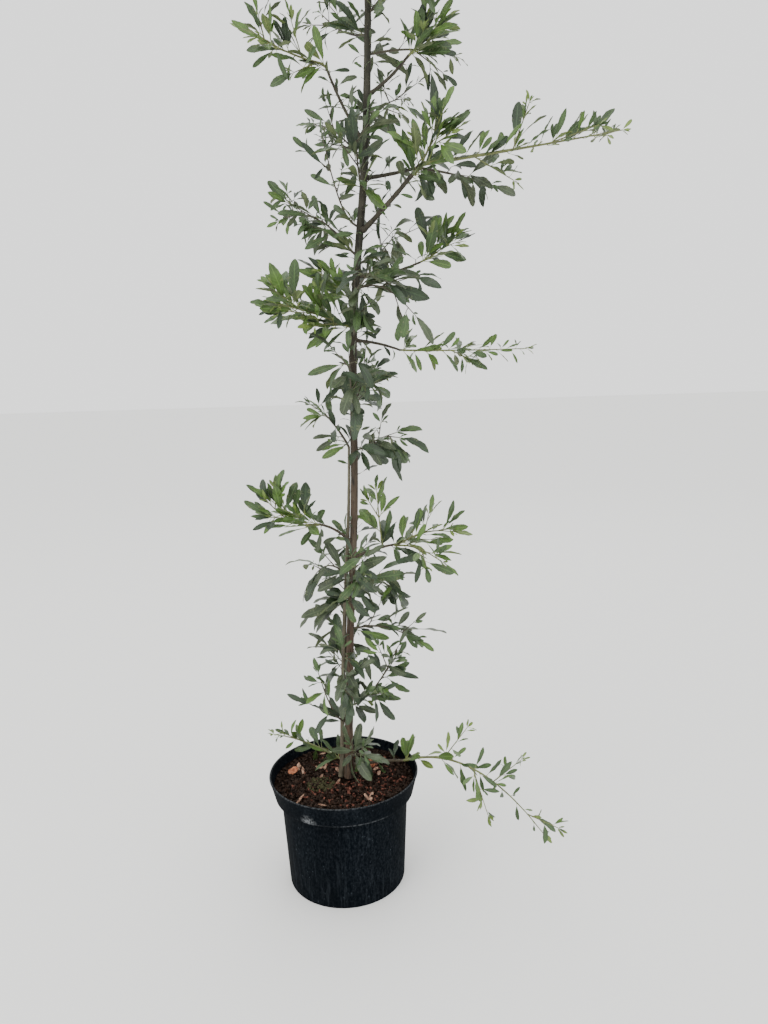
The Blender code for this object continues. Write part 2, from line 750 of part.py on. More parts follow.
def make_leaves(shoot, stem, twigs, space, rng):
    """The leaves of a mass, each with the line that bears it.

    They are spaced along the lines and turned by the golden angle, with one more at each line's tip. A leaf
    that would leave the space, touch a limb, or cross another leaf or twig is turned, and then skipped.
    """
    lines = leaf_lines(stem, twigs, shoot.at != 1.0)
    line_skins = [skin_tree(limb_builder(line)) for line, _ in lines]
    leaves = []
    leaf_skins = []
    for number, (line, start) in enumerate(lines):
        others = line_skins[:number] + line_skins[number + 1 :]
        turn = rng.uniform(0, 2 * math.pi)
        count = int((line.length - LINE_END - start) / LEAF_SPACING) + 1
        for place in range(count + 1):
            turn += GOLDEN_ANGLE + rng.uniform(-LEAF_TURN_JITTER, LEAF_TURN_JITTER)
            for attempt in range(LEAF_ATTEMPTS):
                around = turn + attempt * LEAF_TURN
                if place < count:
                    leaf = make_leaf(line, start + LEAF_SPACING * place, around, shoot.habit, rng)
                else:
                    leaf = tip_leaf(line, around, shoot.habit, rng)
                if not space.leaf_fits(shoot.name, leaf.outline()):
                    continue
                skin = skin_tree(leaf.build)
                if not any(skin.overlap(other) for other in others + leaf_skins):
                    leaves.append((line, leaf))
                    leaf_skins.append(skin)
                    break
    return leaves


def fuse(stem_object, others, solver):
    """Joins the other objects into the stem with one union, and removes them."""
    together = bpy.data.collections.new(stem_object.name)
    for other in others:
        together.objects.link(other)
    union = stem_object.modifiers.new("union", "BOOLEAN")
    union.operation = "UNION"
    union.operand_type = "COLLECTION"
    union.collection = together
    union.solver = solver
    evaluated = stem_object.evaluated_get(bpy.context.evaluated_depsgraph_get())
    whole = bpy.data.meshes.new_from_object(evaluated)
    stem_object.modifiers.clear()
    stem_object.data = whole
    for other in others:
        bpy.data.objects.remove(other)
    bpy.data.collections.remove(together)


def welded_body(made):
    """Welds a fused mesh and drops any loose scrap; returns the places where it isn't one closed skin."""
    bm = bmesh.new()
    bm.from_mesh(made.data)
    bmesh.ops.triangulate(bm, faces=bm.faces)
    bmesh.ops.remove_doubles(bm, verts=bm.verts, dist=WELD)
    unseen = set(bm.faces)
    bodies = []
    while unseen:
        body = []
        border = [unseen.pop()]
        while border:
            face = border.pop()
            body.append(face)
            neighbours = {near for edge in face.edges for near in edge.link_faces} & unseen
            unseen -= neighbours
            border += neighbours
        bodies.append(body)
    bodies.sort(key=len)
    scraps = [face for body in bodies[:-1] for face in body]
    bmesh.ops.delete(bm, geom=scraps, context="FACES")
    faults = [(edge.verts[0].co + edge.verts[1].co) / 2 for edge in bm.edges if len(edge.link_faces) != 2]
    bm.to_mesh(made.data)
    bm.free()
    return faults


def make_twigs(shoot, stem, space):
    """The side twigs of a stem, each turned on until it keeps to its mass's own space, or skipped."""
    rng = random.Random("twigs " + shoot.name)
    twigs = []
    turn = rng.uniform(0, 2 * math.pi)
    for i in range(shoot.twigs):
        for _ in range(TWIG_ATTEMPTS):
            turn += GOLDEN_ANGLE
            share = (i + 1 + rng.uniform(-TWIG_JITTER, TWIG_JITTER)) / (shoot.twigs + 1)
            twig = twig_limb(stem, share, turn, rng)
            if space.line_fits(shoot.name, twig):
                twigs.append(twig)
                space.add_line(shoot.name, twig)
                break
    return twigs


def make_mass(shoot, stem, twigs, space):
    """A mass of foliage: its stem with the twigs and leaves fused on.

    Where the fused skin isn't closed, it is fused the other way, and then without the leaf nearest to the
    fault, or without the nearest twig and its leaves where no leaf is near.
    """
    rng = random.Random("leaves " + shoot.name)
    leaves = make_leaves(shoot, stem, twigs, space, rng)
    while True:
        for solver in ("EXACT", "MANIFOLD"):
            mass = new_object("foliage_" + shoot.name, limb_builder(stem))
            others = [new_object("twig", limb_builder(twig)) for twig in twigs]
            others += [new_object("leaf", leaf.build) for _, leaf in leaves]
            fuse(mass, others, solver)
            faults = welded_body(mass)
            if not faults:
                dress(mass, shoot.habit.finish)
                return len(leaves)
            bpy.data.objects.remove(mass)
        nearest = min(leaves, key=lambda row: row[1].distance(faults[0]))
        if nearest[1].distance(faults[0]) < FAULT_REACH or not twigs:
            leaves.remove(nearest)
        else:
            worst = min(twigs, key=lambda twig: (twig.points[0] - faults[0]).length)
            twigs = [twig for twig in twigs if twig is not worst]
            leaves = [row for row in leaves if row[0] is not worst]


def clear_scene():
    """Removes whatever the file held."""
    for old in list(bpy.data.objects):
        bpy.data.objects.remove(old)


def main():
    """Builds the pot, its soil, the stems, the boughs and the masses of foliage."""
    clear_scene()
    make_pot()
    make_soil()

    limbs = {"trunk": trunk_limb()}
    limbs["second_stem"] = second_limb(limbs["trunk"])
    for bough in BOUGHS:
        limbs[bough.name] = bough_limb(bough, limbs)
    space = Space()
    for name, limb in limbs.items():
        made = new_object(name, limb_builder(limb), BARK_FINISH)
        made.data.shade_smooth()
        space.add_limb(limb)

    shoots = all_shoots()
    stems = {shoot.name: stem_limb(shoot, limbs) for shoot in shoots}
    for name, stem in stems.items():
        space.add_line(name, stem)
    twigs = {}
    for shoot in shoots:
        space.settle()
        twigs[shoot.name] = make_twigs(shoot, stems[shoot.name], space)
    space.settle()
    leaves = 0
    for shoot in shoots:
        leaves += make_mass(shoot, stems[shoot.name], twigs[shoot.name], space)
    print("leaves", leaves, "twigs", sum(len(made) for made in twigs.values()))


main()
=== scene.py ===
"""A potted orange glow firethorn: bark, twigs and toothed leaves, compost and the scuffed nursery pot.

Metres, +Z up. The origin is the centre of the pot's underside, +X is the viewer's right and +Y runs away.
"""

import json
import logging
from collections.abc import Sequence
from dataclasses import dataclass, field, replace
from enum import Enum
from math import ceil, cos, degrees, exp, hypot, radians, sin, sqrt, tau
from random import Random

import bpy
import numpy as np
from mathutils import Matrix, Vector, kdtree
from mathutils.bvhtree import BVHTree

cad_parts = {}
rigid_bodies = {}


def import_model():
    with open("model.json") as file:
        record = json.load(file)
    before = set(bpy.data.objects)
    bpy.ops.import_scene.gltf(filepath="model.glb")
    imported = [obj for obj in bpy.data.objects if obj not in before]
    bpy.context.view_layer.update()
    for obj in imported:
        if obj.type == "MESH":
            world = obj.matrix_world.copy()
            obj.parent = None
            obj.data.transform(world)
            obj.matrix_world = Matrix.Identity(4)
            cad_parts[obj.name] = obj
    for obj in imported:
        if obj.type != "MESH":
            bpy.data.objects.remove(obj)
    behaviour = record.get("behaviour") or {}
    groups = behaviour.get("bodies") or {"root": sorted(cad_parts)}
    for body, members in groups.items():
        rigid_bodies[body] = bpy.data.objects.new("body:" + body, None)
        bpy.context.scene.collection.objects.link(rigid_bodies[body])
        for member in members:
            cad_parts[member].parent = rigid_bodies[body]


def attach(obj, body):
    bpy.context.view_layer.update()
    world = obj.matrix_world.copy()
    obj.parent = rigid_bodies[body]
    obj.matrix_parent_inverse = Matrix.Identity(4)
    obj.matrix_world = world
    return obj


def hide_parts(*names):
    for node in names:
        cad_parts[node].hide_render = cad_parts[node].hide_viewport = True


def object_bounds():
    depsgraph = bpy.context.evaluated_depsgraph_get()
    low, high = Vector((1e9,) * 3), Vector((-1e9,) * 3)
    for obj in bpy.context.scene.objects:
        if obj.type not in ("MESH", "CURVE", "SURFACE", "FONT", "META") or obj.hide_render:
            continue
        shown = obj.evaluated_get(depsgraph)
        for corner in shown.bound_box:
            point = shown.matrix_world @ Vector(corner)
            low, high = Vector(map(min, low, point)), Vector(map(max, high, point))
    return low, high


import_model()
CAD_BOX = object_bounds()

LOG = logging.getLogger("firethorn")
BODY = "root"
MARKS = "blade marks"
Pair = tuple[float, float]
Triple = tuple[float, float, float]
Colour = Triple
Shape = tuple[np.ndarray, list[tuple[int, ...]]]
Piece = bpy.types.Object
Material = bpy.types.Material
Socket = bpy.types.NodeSocket
Inputs = dict[str | int, Socket | float | tuple[float, ...]]
GOLDEN_ANGLE = radians(137.5)
LIGHT_SIDE = Vector((-0.10, -0.62, 0.78))
UP = Vector((0, 0, 1))

# Clearances, as in the solids
GAP = 0.0003
TWIG_CLEARANCE = 0.0030
LEAF_CLEARANCE = 0.0008
RIM_CLEARANCE = 0.003
LOWEST_LEAF = 0.006
LINE_STEP = 0.0025

# Levels and radii that the plant and its pot share
POT_HEIGHT = 0.147
POT_RIM_RADIUS = 0.0972
POT_BAND_HEIGHT = 0.0265
SOIL_HEIGHT = 0.1360

# Trunk and second stem: bends as (height, x, y) and tapers as (height, radius)
TRUNK_BENDS = (
    (0.136, 0.0070, 0.000),
    (0.300, 0.0135, 0.002),
    (0.500, 0.0268, -0.002),
    (0.720, 0.0338, 0.002),
    (0.900, 0.0533, 0.000),
    (1.070, 0.0624, -0.002),
    (1.310, 0.0680, 0.001),
)
TRUNK_TAPER = (
    (0.136, 0.0068),
    (0.160, 0.0054),
    (0.300, 0.0048),
    (0.600, 0.0045),
    (0.870, 0.0045),
    (0.960, 0.0041),
    (1.060, 0.0037),
    (1.310, 0.0012),
)
TRUNK_STEP = 0.042
SECOND_BEARING = 168.0
SECOND_TOP = 0.590
SECOND_TAPER = ((0.136, 0.0040), (0.160, 0.0031), (0.400, 0.0025), (0.590, 0.0014))
SECOND_SPACING = 0.0006

# Boughs, the stems of the masses and their side twigs
BOUGH_STEP = 0.016
STEM_STEP = 0.024
LIMB_SEGMENTS = 4
BOUGH_TIP_SHARE = 0.72
STEM_TIP_RADIUS = 0.0005
LEAVING_COSINE = 0.62
ELBOW_RADII = 1.6
TIP_LEAF_REACH = 0.6 * 0.031
TWIG_ROOT_RADIUS = 0.0008
TWIG_TIP_RADIUS = 0.00045
TWIG_SPREAD = radians(52)
TWIG_LIFT = 0.35
TWIG_SHARE = (0.34, 0.55)
TWIG_FADE = 0.4
TWIG_LONGEST = 0.058
TWIG_JITTER = 0.3
TWIG_ATTEMPTS = 4
TWIG_ROOT_SAMPLES = 3

# The free upper part of the crown
TOP_SHOOTS = 5
TOP_FIRST_HEIGHT = 1.095
TOP_SPACING = 0.044
TOP_FIRST_BEARING = 215.0
TOP_REACH = (0.105, 0.055)
TOP_RISE = (0.030, 0.052)
TOP_BOW = -0.004
TOP_RADIUS = 0.0011
TOP_TWIGS = (2, 2, 2, 1, 1)
LEADER_BEARING = 60.0
LEADER_REACH = 0.006
LEADER_RISE = 0.075


class Tint(Enum):
    """The colours that leaves come in, dealt out spray by spray."""

    GREY = "grey"
    DEEP = "deep"
    MID = "mid"
    BRIGHT = "bright"
    YOUNG = "young"
    RUSSET = "russet"


class Age(Enum):
    """How old a twig is, which sets its bark and the colour of its leaf stalks."""

    WOODY = "woody"
    GREEN = "green"


@dataclass(frozen=True)
class Habit:
    """How the leaves of a mass stand and what colours they have.

    Attributes:
        lift: How far they lean up, or down where it is negative.
        spread: The least and the greatest angle between a leaf and its twig.
        tip_size: The size of the last leaf as a share of the first.
        length: The least and greatest length of a leaf.
        spacing: The distance between nodes along a line.
        spur: The least and greatest length of the spur at a node.
        cluster: The odds of one, two, three and four leaves at a node.
        curl: The least and greatest bend of a blade from root to tip.
        tints: The odds of each tint.
        age: The age of the twigs.
    """

    lift: float
    spread: Pair
    tip_size: float
    length: Pair
    spacing: float
    spur: Pair
    cluster: tuple[int, int, int, int]
    curl: Pair
    tints: dict[Tint, int]
    age: Age = Age.WOODY


HANGING = Habit(
    lift=-0.55,
    spread=(radians(40), radians(75)),
    tip_size=0.75,
    length=(0.036, 0.058),
    spacing=0.0115,
    spur=(0.001, 0.008),
    cluster=(2, 5, 4, 1),
    curl=(0.2, 1.5),
    # Its odds lean to the deep tint as painted shade, since these masses hang close round the trunk inside
    # the crown
    tints={Tint.GREY: 6, Tint.DEEP: 11, Tint.MID: 5},
)
SPREADING = Habit(
    lift=-0.08,
    spread=(radians(38), radians(66)),
    tip_size=0.65,
    length=(0.029, 0.049),
    spacing=0.0115,
    spur=(0.001, 0.007),
    cluster=(3, 5, 3, 1),
    curl=(0.1, 0.8),
    tints={Tint.GREY: 3, Tint.DEEP: 6, Tint.MID: 9, Tint.BRIGHT: 2},
)
FRESH = Habit(
    lift=0.40,
    spread=(radians(35), radians(60)),
    tip_size=0.72,
    length=(0.029, 0.047),
    spacing=0.0088,
    spur=(0.001, 0.007),
    cluster=(2, 4, 4, 2),
    curl=(-0.1, 0.6),
    tints={Tint.DEEP: 3, Tint.MID: 8, Tint.BRIGHT: 8},
    age=Age.GREEN,
)
SLENDER = Habit(
    lift=0.12,
    spread=(radians(32), radians(58)),
    tip_size=0.30,
    length=(0.024, 0.038),
    spacing=0.0105,
    spur=(0.001, 0.003),
    cluster=(5, 4, 2, 0),
    curl=(-0.1, 0.6),
    tints={Tint.MID: 7, Tint.BRIGHT: 8, Tint.YOUNG: 1},
    age=Age.GREEN,
)
UPRIGHT = replace(
    SLENDER,
    lift=0.85,
    length=(0.029, 0.045),
    spacing=0.0120,
    cluster=(4, 4, 2, 0),
    tints={Tint.DEEP: 2, Tint.MID: 8, Tint.BRIGHT: 6},
)
ON_LIMBS = Habit(
    lift=-0.05,
    spread=(radians(45), radians(80)),
    tip_size=1.0,
    length=(0.013, 0.032),
    spacing=0.0130,
    spur=(0.001, 0.004),
    cluster=(5, 4, 1, 0),
    curl=(0.0, 0.9),
    tints={Tint.GREY: 3, Tint.DEEP: 5, Tint.MID: 6},
)


@dataclass(frozen=True)
class Shoot:
    """A limb by its place and its size.

    Attributes:
        name: Its own name, which a mass has after the word foliage.
        parent: The limb that bears it.
        at: A height on the trunk or the second stem, or a share of a bough's length.
        bearing: Its bearing from +X round to +Y, in degrees.
        reach: How far out the tip lies from the parent's axis.
        rise: How far up it lies.
        bow: How far the middle lies above the straight line.
        radius: The radius at its root.
        twigs: How many side twigs it may bear.
        habit: How its leaves stand.
        fullness: How closely its nodes follow each other, against the habit's own spacing.
        leaf_size: How long its leaves are, against the habit's own length.
    """

    name: str
    parent: str
    at: float
    bearing: float
    reach: float
    rise: float
    bow: float
    radius: float
    twigs: int = 0
    habit: Habit = SPREADING
    fullness: float = 1.0
    leaf_size: float = 1.0


# A row reads: name, parent, place on it, bearing, reach, rise, bow, radius, twigs, habit, fullness, leaf size
BOUGHS = (
    Shoot("bough_low_right", "trunk", 0.152, 4, 0.072, 0.002, 0.002, 0.0023),
    Shoot("bough_right_mid", "trunk", 0.434, 1, 0.059, 0.014, 0.002, 0.0019),
    Shoot("bough_left_mid", "trunk", 0.454, -150, 0.046, 0.026, 0.004, 0.0019),
    Shoot("bough_right_long", "trunk", 0.697, 3, 0.056, -0.013, 0.002, 0.0018),
    Shoot("bough_right_shelf", "trunk", 0.771, 13, 0.079, 0.016, -0.004, 0.0018),
    Shoot("bough_stout", "trunk", 0.822, -34, 0.083, 0.058, -0.002, 0.0031),
    Shoot("bough_fork", "trunk", 0.880, 25, 0.070, 0.016, -0.001, 0.0024),
    Shoot("bough_left_high", "trunk", 0.921, -167, 0.043, 0.074, -0.006, 0.0019),
    Shoot("bough_right_high", "trunk", 0.969, 1, 0.048, 0.038, -0.003, 0.0021),
)

FOLIAGE = (
    Shoot("low_right", "bough_low_right", 1.0, -10, 0.186, -0.094, 0.040, 0.0018, 4, SLENDER, 0.9, 1.06),
    Shoot("low_left", "second_stem", 0.160, 154, 0.112, 0.016, 0.006, 0.0014, 2, SLENDER, 1.1),
    Shoot("foot_front", "trunk", 0.170, -64, 0.058, 0.034, -0.006, 0.0013, 2, HANGING, 1.0, 0.86),
    Shoot("left_pot", "trunk", 0.213, -150, 0.046, 0.086, -0.016, 0.0013, 2, SPREADING, 0.35),
    Shoot("right_low", "trunk", 0.236, -25, 0.080, 0.098, -0.014, 0.0014, 3, SPREADING, 1.2),
    Shoot("front_low", "trunk", 0.250, -95, 0.050, 0.090, -0.018, 0.0013, 3, HANGING),
    Shoot("back_low", "trunk", 0.262, 96, 0.052, 0.090, -0.018, 0.0013, 3, HANGING, 0.75),
    Shoot("right_low_upper", "trunk", 0.340, -17, 0.096, -0.010, 0.009, 0.0014, 3, SPREADING, 0.85),
    Shoot("left_low", "second_stem", 0.368, 150, 0.042, -0.016, 0.010, 0.0012, 1, HANGING, 0.3),
    Shoot("right_mid_low", "trunk", 0.390, 43, 0.092, -0.027, 0.018, 0.0013, 2, HANGING, 0.8),
    Shoot("left_mid_low", "second_stem", 0.412, 178, 0.060, -0.014, 0.016, 0.0012, 2, HANGING, 0.35, 1.1),
    Shoot("front_mid", "trunk", 0.374, -84, 0.054, 0.080, -0.016, 0.0013, 3, HANGING),
    Shoot("left_mid", "bough_left_mid", 1.0, -160, 0.074, 0.040, -0.012, 0.0016, 4, FRESH, 1.4),
    Shoot("right_mid", "bough_right_mid", 1.0, 13, 0.080, 0.012, 0.007, 0.0016, 3, FRESH, 0.75),
    Shoot("right_mid_fork", "bough_right_mid", 0.86, -31, 0.080, -0.019, 0.007, 0.0012, 1, FRESH, 0.75),
    Shoot("right_mid_up", "bough_right_mid", 0.62, 120, 0.014, 0.082, -0.014, 0.0012, 1, FRESH, 0.6),
    Shoot("back_mid", "trunk", 0.414, 84, 0.056, 0.052, -0.012, 0.0013, 2, SPREADING, 0.6),
    Shoot("right_second", "trunk", 0.566, -14, 0.066, 0.026, 0.002, 0.0013, 3, HANGING, 0.65),
    Shoot("left_upper_mid", "second_stem", 1.0, 162, 0.056, 0.060, 0.008, 0.0014, 2, SPREADING, 0.9),
    Shoot("front_upper", "trunk", 0.608, -92, 0.050, 0.084, -0.018, 0.0013, 3, HANGING),
    Shoot("back_upper", "trunk", 0.626, 70, 0.056, 0.076, -0.014, 0.0013, 2, HANGING, 0.5),
    Shoot("left_upper_spur", "trunk", 0.745, 170, 0.048, 0.036, 0.004, 0.0013, 2, FRESH, 1.35),
    Shoot("right_long", "bough_right_long", 1.0, 5, 0.160, -0.002, -0.001, 0.0014, 1, SLENDER, 1.6, 1.1),
    Shoot("right_spur", "trunk", 0.702, -84, 0.054, 0.078, -0.016, 0.0013, 2, HANGING, 0.9),
    Shoot("left_bright", "trunk", 0.712, -150, 0.110, 0.028, 0.003, 0.0017, 5, FRESH, 1.3, 1.05),
    Shoot("right_hang", "trunk", 0.757, -42, 0.100, -0.040, 0.014, 0.0013, 2, HANGING, 0.3, 1.2),
    Shoot("right_shelf", "bough_right_shelf", 1.0, 13, 0.052, 0.036, -0.003, 0.0013, 2, FRESH, 1.4, 1.12),
    Shoot("back_right", "trunk", 0.786, 62, 0.118, 0.055, -0.007, 0.0014, 4, HANGING, 0.6, 0.75),
    Shoot("left_arch", "trunk", 0.795, 160, 0.110, 0.052, 0.022, 0.0015, 4, SPREADING, 1.5, 0.92),
    Shoot("left_arch_up", "trunk", 0.826, 176, 0.044, 0.108, -0.022, 0.0013, 2, SPREADING, 0.3, 0.85),
    Shoot("bright_cluster", "bough_stout", 0.88, -52, 0.056, 0.056, -0.006, 0.0015, 3, FRESH, 1.35, 1.02),
    Shoot("long_top", "bough_stout", 1.0, 6, 0.234, 0.037, -0.001, 0.0022, 4, UPRIGHT, 1.35, 0.95),
    Shoot("low_fork", "bough_fork", 1.0, 0, 0.100, -0.025, 0.002, 0.0016, 2, HANGING, 0.8, 0.85),
    Shoot("front_high", "trunk", 0.866, -100, 0.052, 0.080, -0.018, 0.0012, 2),
    Shoot("left_pair", "trunk", 0.898, 142, 0.092, 0.062, 0.012, 0.0013, 3, SPREADING, 1.1, 0.8),
    Shoot("back_top", "trunk", 0.941, 62, 0.108, 0.055, 0.006, 0.0014, 4, SPREADING, 0.9, 0.8),
    Shoot("left_high", "bough_left_high", 1.0, -168, 0.088, 0.030, -0.002, 0.0017, 5, FRESH, 0.9, 0.9),
    Shoot("right_high", "bough_right_high", 1.0, 0, 0.040, 0.042, -0.002, 0.0015, 3, FRESH, 1.4, 1.1),
    Shoot("right_flat", "trunk", 1.010, 25, 0.124, 0.014, 0.006, 0.0014, 3, SPREADING, 0.7),
    Shoot("back_left_top", "trunk", 1.030, 132, 0.090, 0.052, -0.008, 0.0013, 3, SPREADING, 0.45),
    Shoot("top_arch", "trunk", 1.052, -30, 0.100, 0.014, 0.018, 0.0013, 3, SPREADING, 0.8),
)


def between(ends: Pair, share: float) -> float:
    """Returns the value at a share of the way from one end to the other."""
    return ends[0] + (ends[1] - ends[0]) * share


def scaled(colour: Colour, share: float) -> Colour:
    """Returns a colour made lighter or darker."""
    return tuple(part * share for part in colour)


def value_at(table: tuple[Pair, ...], height: float) -> float:
    """Reads a table of (height, value) rows by straight lines.

    Args:
        table: The rows, lowest first.
        height: The height to read at.

    Returns:
        The value there.
    """
    for (low, first), (high, last) in zip(table, table[1:]):
        if height <= high:
            share = max(0.0, (height - low) / (high - low))
            return first + (last - first) * share
    return table[-1][1]


def bend_at(height: float) -> Vector:
    """Finds the trunk's axis on a smooth curve through its bends.

    Args:
        height: The height to look at.

    Returns:
        The point of the axis there.
    """
    last = len(TRUNK_BENDS) - 1
    i = sum(row[0] <= height for row in TRUNK_BENDS) - 1
    i = min(max(i, 0), last - 1)
    before, start, end, after = (TRUNK_BENDS[min(max(i + k, 0), last)] for k in (-1, 0, 1, 2))
    t = (height - start[0]) / (end[0] - start[0])
    point = []
    for a, b, c, d in zip(before[1:], start[1:], end[1:], after[1:]):
        cubic = (3 * b - a - 3 * c + d) * t**3
        square = (2 * a - 5 * b + 4 * c - d) * t**2
        point.append(0.5 * (2 * b + (c - a) * t + square + cubic))
    return Vector((point[0], point[1], height))


def on_bearing(bearing: float) -> Vector:
    """Returns the level unit vector on a bearing."""
    return Vector((cos(radians(bearing)), sin(radians(bearing)), 0.0))


def across(direction: Vector) -> tuple[Vector, Vector]:
    """Returns two unit vectors square to a unit vector and to each other."""
    u = direction.cross(UP if abs(direction.z) < 0.9 else Vector((1, 0, 0))).normalized()
    return u, direction.cross(u).normalized()


def turned_away(direction: Vector, angle: float, turn: float) -> Vector:
    """Returns a unit vector leant over by an angle, towards the side that a turn round it gives."""
    u, v = across(direction)
    return direction * cos(angle) + (u * cos(turn) + v * sin(turn)) * sin(angle)


@dataclass
class Limb:
    """A tapering limb: its axis points, the radius at each, and the direction away from its root's cut."""

    points: list[Vector]
    radii: list[float]
    root_face: Vector

    def __post_init__(self) -> None:
        """Measures how far along the limb each point lies."""
        self.reached = [0.0]
        for start, end in zip(self.points, self.points[1:]):
            self.reached.append(self.reached[-1] + (end - start).length)
        self.length = self.reached[-1]

    def at(self, distance: float) -> tuple[Vector, Vector, float]:
        """Looks along the limb.

        Args:
            distance: How far from the root.

        Returns:
            The axis point there, its direction and the radius.
        """
        i = 0
        while i < len(self.points) - 2 and self.reached[i + 1] < distance:
            i += 1
        step = self.points[i + 1] - self.points[i]
        share = min(max((distance - self.reached[i]) / step.length, 0.0), 1.0)
        radius = self.radii[i] + (self.radii[i + 1] - self.radii[i]) * share
        return self.points[i] + step * share, step.normalized(), radius

    def at_height(self, height: float) -> tuple[Vector, Vector, float]:
        """Looks along a limb that climbs all the way.

        Args:
            height: The height to look at.

        Returns:
            The axis point there, its direction and the radius.
        """
        for i, (start, end) in enumerate(zip(self.points, self.points[1:])):
            if end.z >= height:
                share = (height - start.z) / (end.z - start.z)
                return self.at(self.reached[i] + share * (end - start).length)
        return self.at(self.length)

    def samples(self, step: float) -> list[tuple[Vector, float]]:
        """Returns the point and the radius of each sample along the axis, a step apart at most."""
        count = max(2, ceil(self.length / step))
        return [self.at(self.length * i / count)[::2] for i in range(count + 1)]


def trunk_limb() -> Limb:
    """Returns the trunk from its flat cut above the soil to its tip."""
    bottom = SOIL_HEIGHT + GAP
    flare_top = TRUNK_TAPER[1][0]
    climb = TRUNK_TAPER[-1][0] - flare_top
    count = ceil(climb / TRUNK_STEP)
    heights = [bottom, (bottom + flare_top) / 2]
    heights += [flare_top + climb * i / count for i in range(count + 1)]
    points = [bend_at(height) for height in heights]
    radii = [value_at(TRUNK_TAPER, height) for height in heights]
    return Limb(points, radii, UP)


def second_limb(trunk: Limb) -> Limb:
    """Runs the second stem up beside the trunk.

    Args:
        trunk: The trunk.

    Returns:
        The second stem.
    """
    side = on_bearing(SECOND_BEARING)
    points = []
    radii = []
    for point, radius in zip(trunk.points, trunk.radii):
        if point.z > SECOND_TOP:
            break
        own = value_at(SECOND_TAPER, point.z)
        points.append(point + side * (radius + own + SECOND_SPACING))
        radii.append(own)
    return Limb(points, radii, UP)


def shoot_limb(
    shoot: Shoot, parents: dict[str, Limb], step: float, tip_radius: float, held_back: float = 0.0
) -> Limb:
    """Grows a shoot from just clear of its parent.

    Args:
        shoot: What to grow.
        parents: The limbs by name.
        step: The greatest distance between the points of its axis.
        tip_radius: The radius at its tip.
        held_back: How far short of its full reach it stops.

    Returns:
        The limb.
    """
    parent = parents[shoot.parent]
    if shoot.parent in ("trunk", "second_stem") and shoot.at != 1.0:
        centre, along, radius = parent.at_height(shoot.at)
    else:
        centre, along, radius = parent.at(shoot.at * parent.length)
    level = on_bearing(shoot.bearing)
    tip = centre + level * shoot.reach + Vector((0, 0, shoot.rise))
    tip -= (tip - centre).normalized() * held_back
    lift = Vector((0, 0, 4 * shoot.bow))
    heading = tip - centre + lift
    if shoot.at == 1.0:
        face = along
        root = centre + along * GAP
        own_radius = radius
    else:
        face = (level - along * level.dot(along)).normalized()
        root = centre + face * (radius + GAP)
        own_radius = shoot.radius
    count = max(LIMB_SEGMENTS, ceil((tip - root).length / step))
    points = [root]
    if heading.normalized().dot(face) < LEAVING_COSINE:
        points.append(root + face * (ELBOW_RADII * own_radius))
    for i in range(1, count + 1):
        t = i / count
        points.append(root.lerp(tip, t) + lift * (t * (1 - t)))
    limb = Limb(points, [], face)
    limb.radii = [own_radius + (tip_radius - own_radius) * reached / limb.length for reached in limb.reached]
    return limb


def all_shoots() -> list[Shoot]:
    """Returns the masses from the table, the shoots round the leader and the leader's own tip."""
    rows = list(FOLIAGE)
    for i in range(TOP_SHOOTS):
        share = i / (TOP_SHOOTS - 1)
        rows.append(
            Shoot(
                f"top_{i + 1}",
                "trunk",
                TOP_FIRST_HEIGHT + TOP_SPACING * i,
                (TOP_FIRST_BEARING + degrees(GOLDEN_ANGLE) * i) % 360,
                between(TOP_REACH, share),
                between(TOP_RISE, share),
                TOP_BOW,
                TOP_RADIUS,
                TOP_TWIGS[i],
            )
        )
    rows.append(Shoot("leader", "trunk", 1.0, LEADER_BEARING, LEADER_REACH, LEADER_RISE, 0.0, TOP_RADIUS, 2))
    return rows


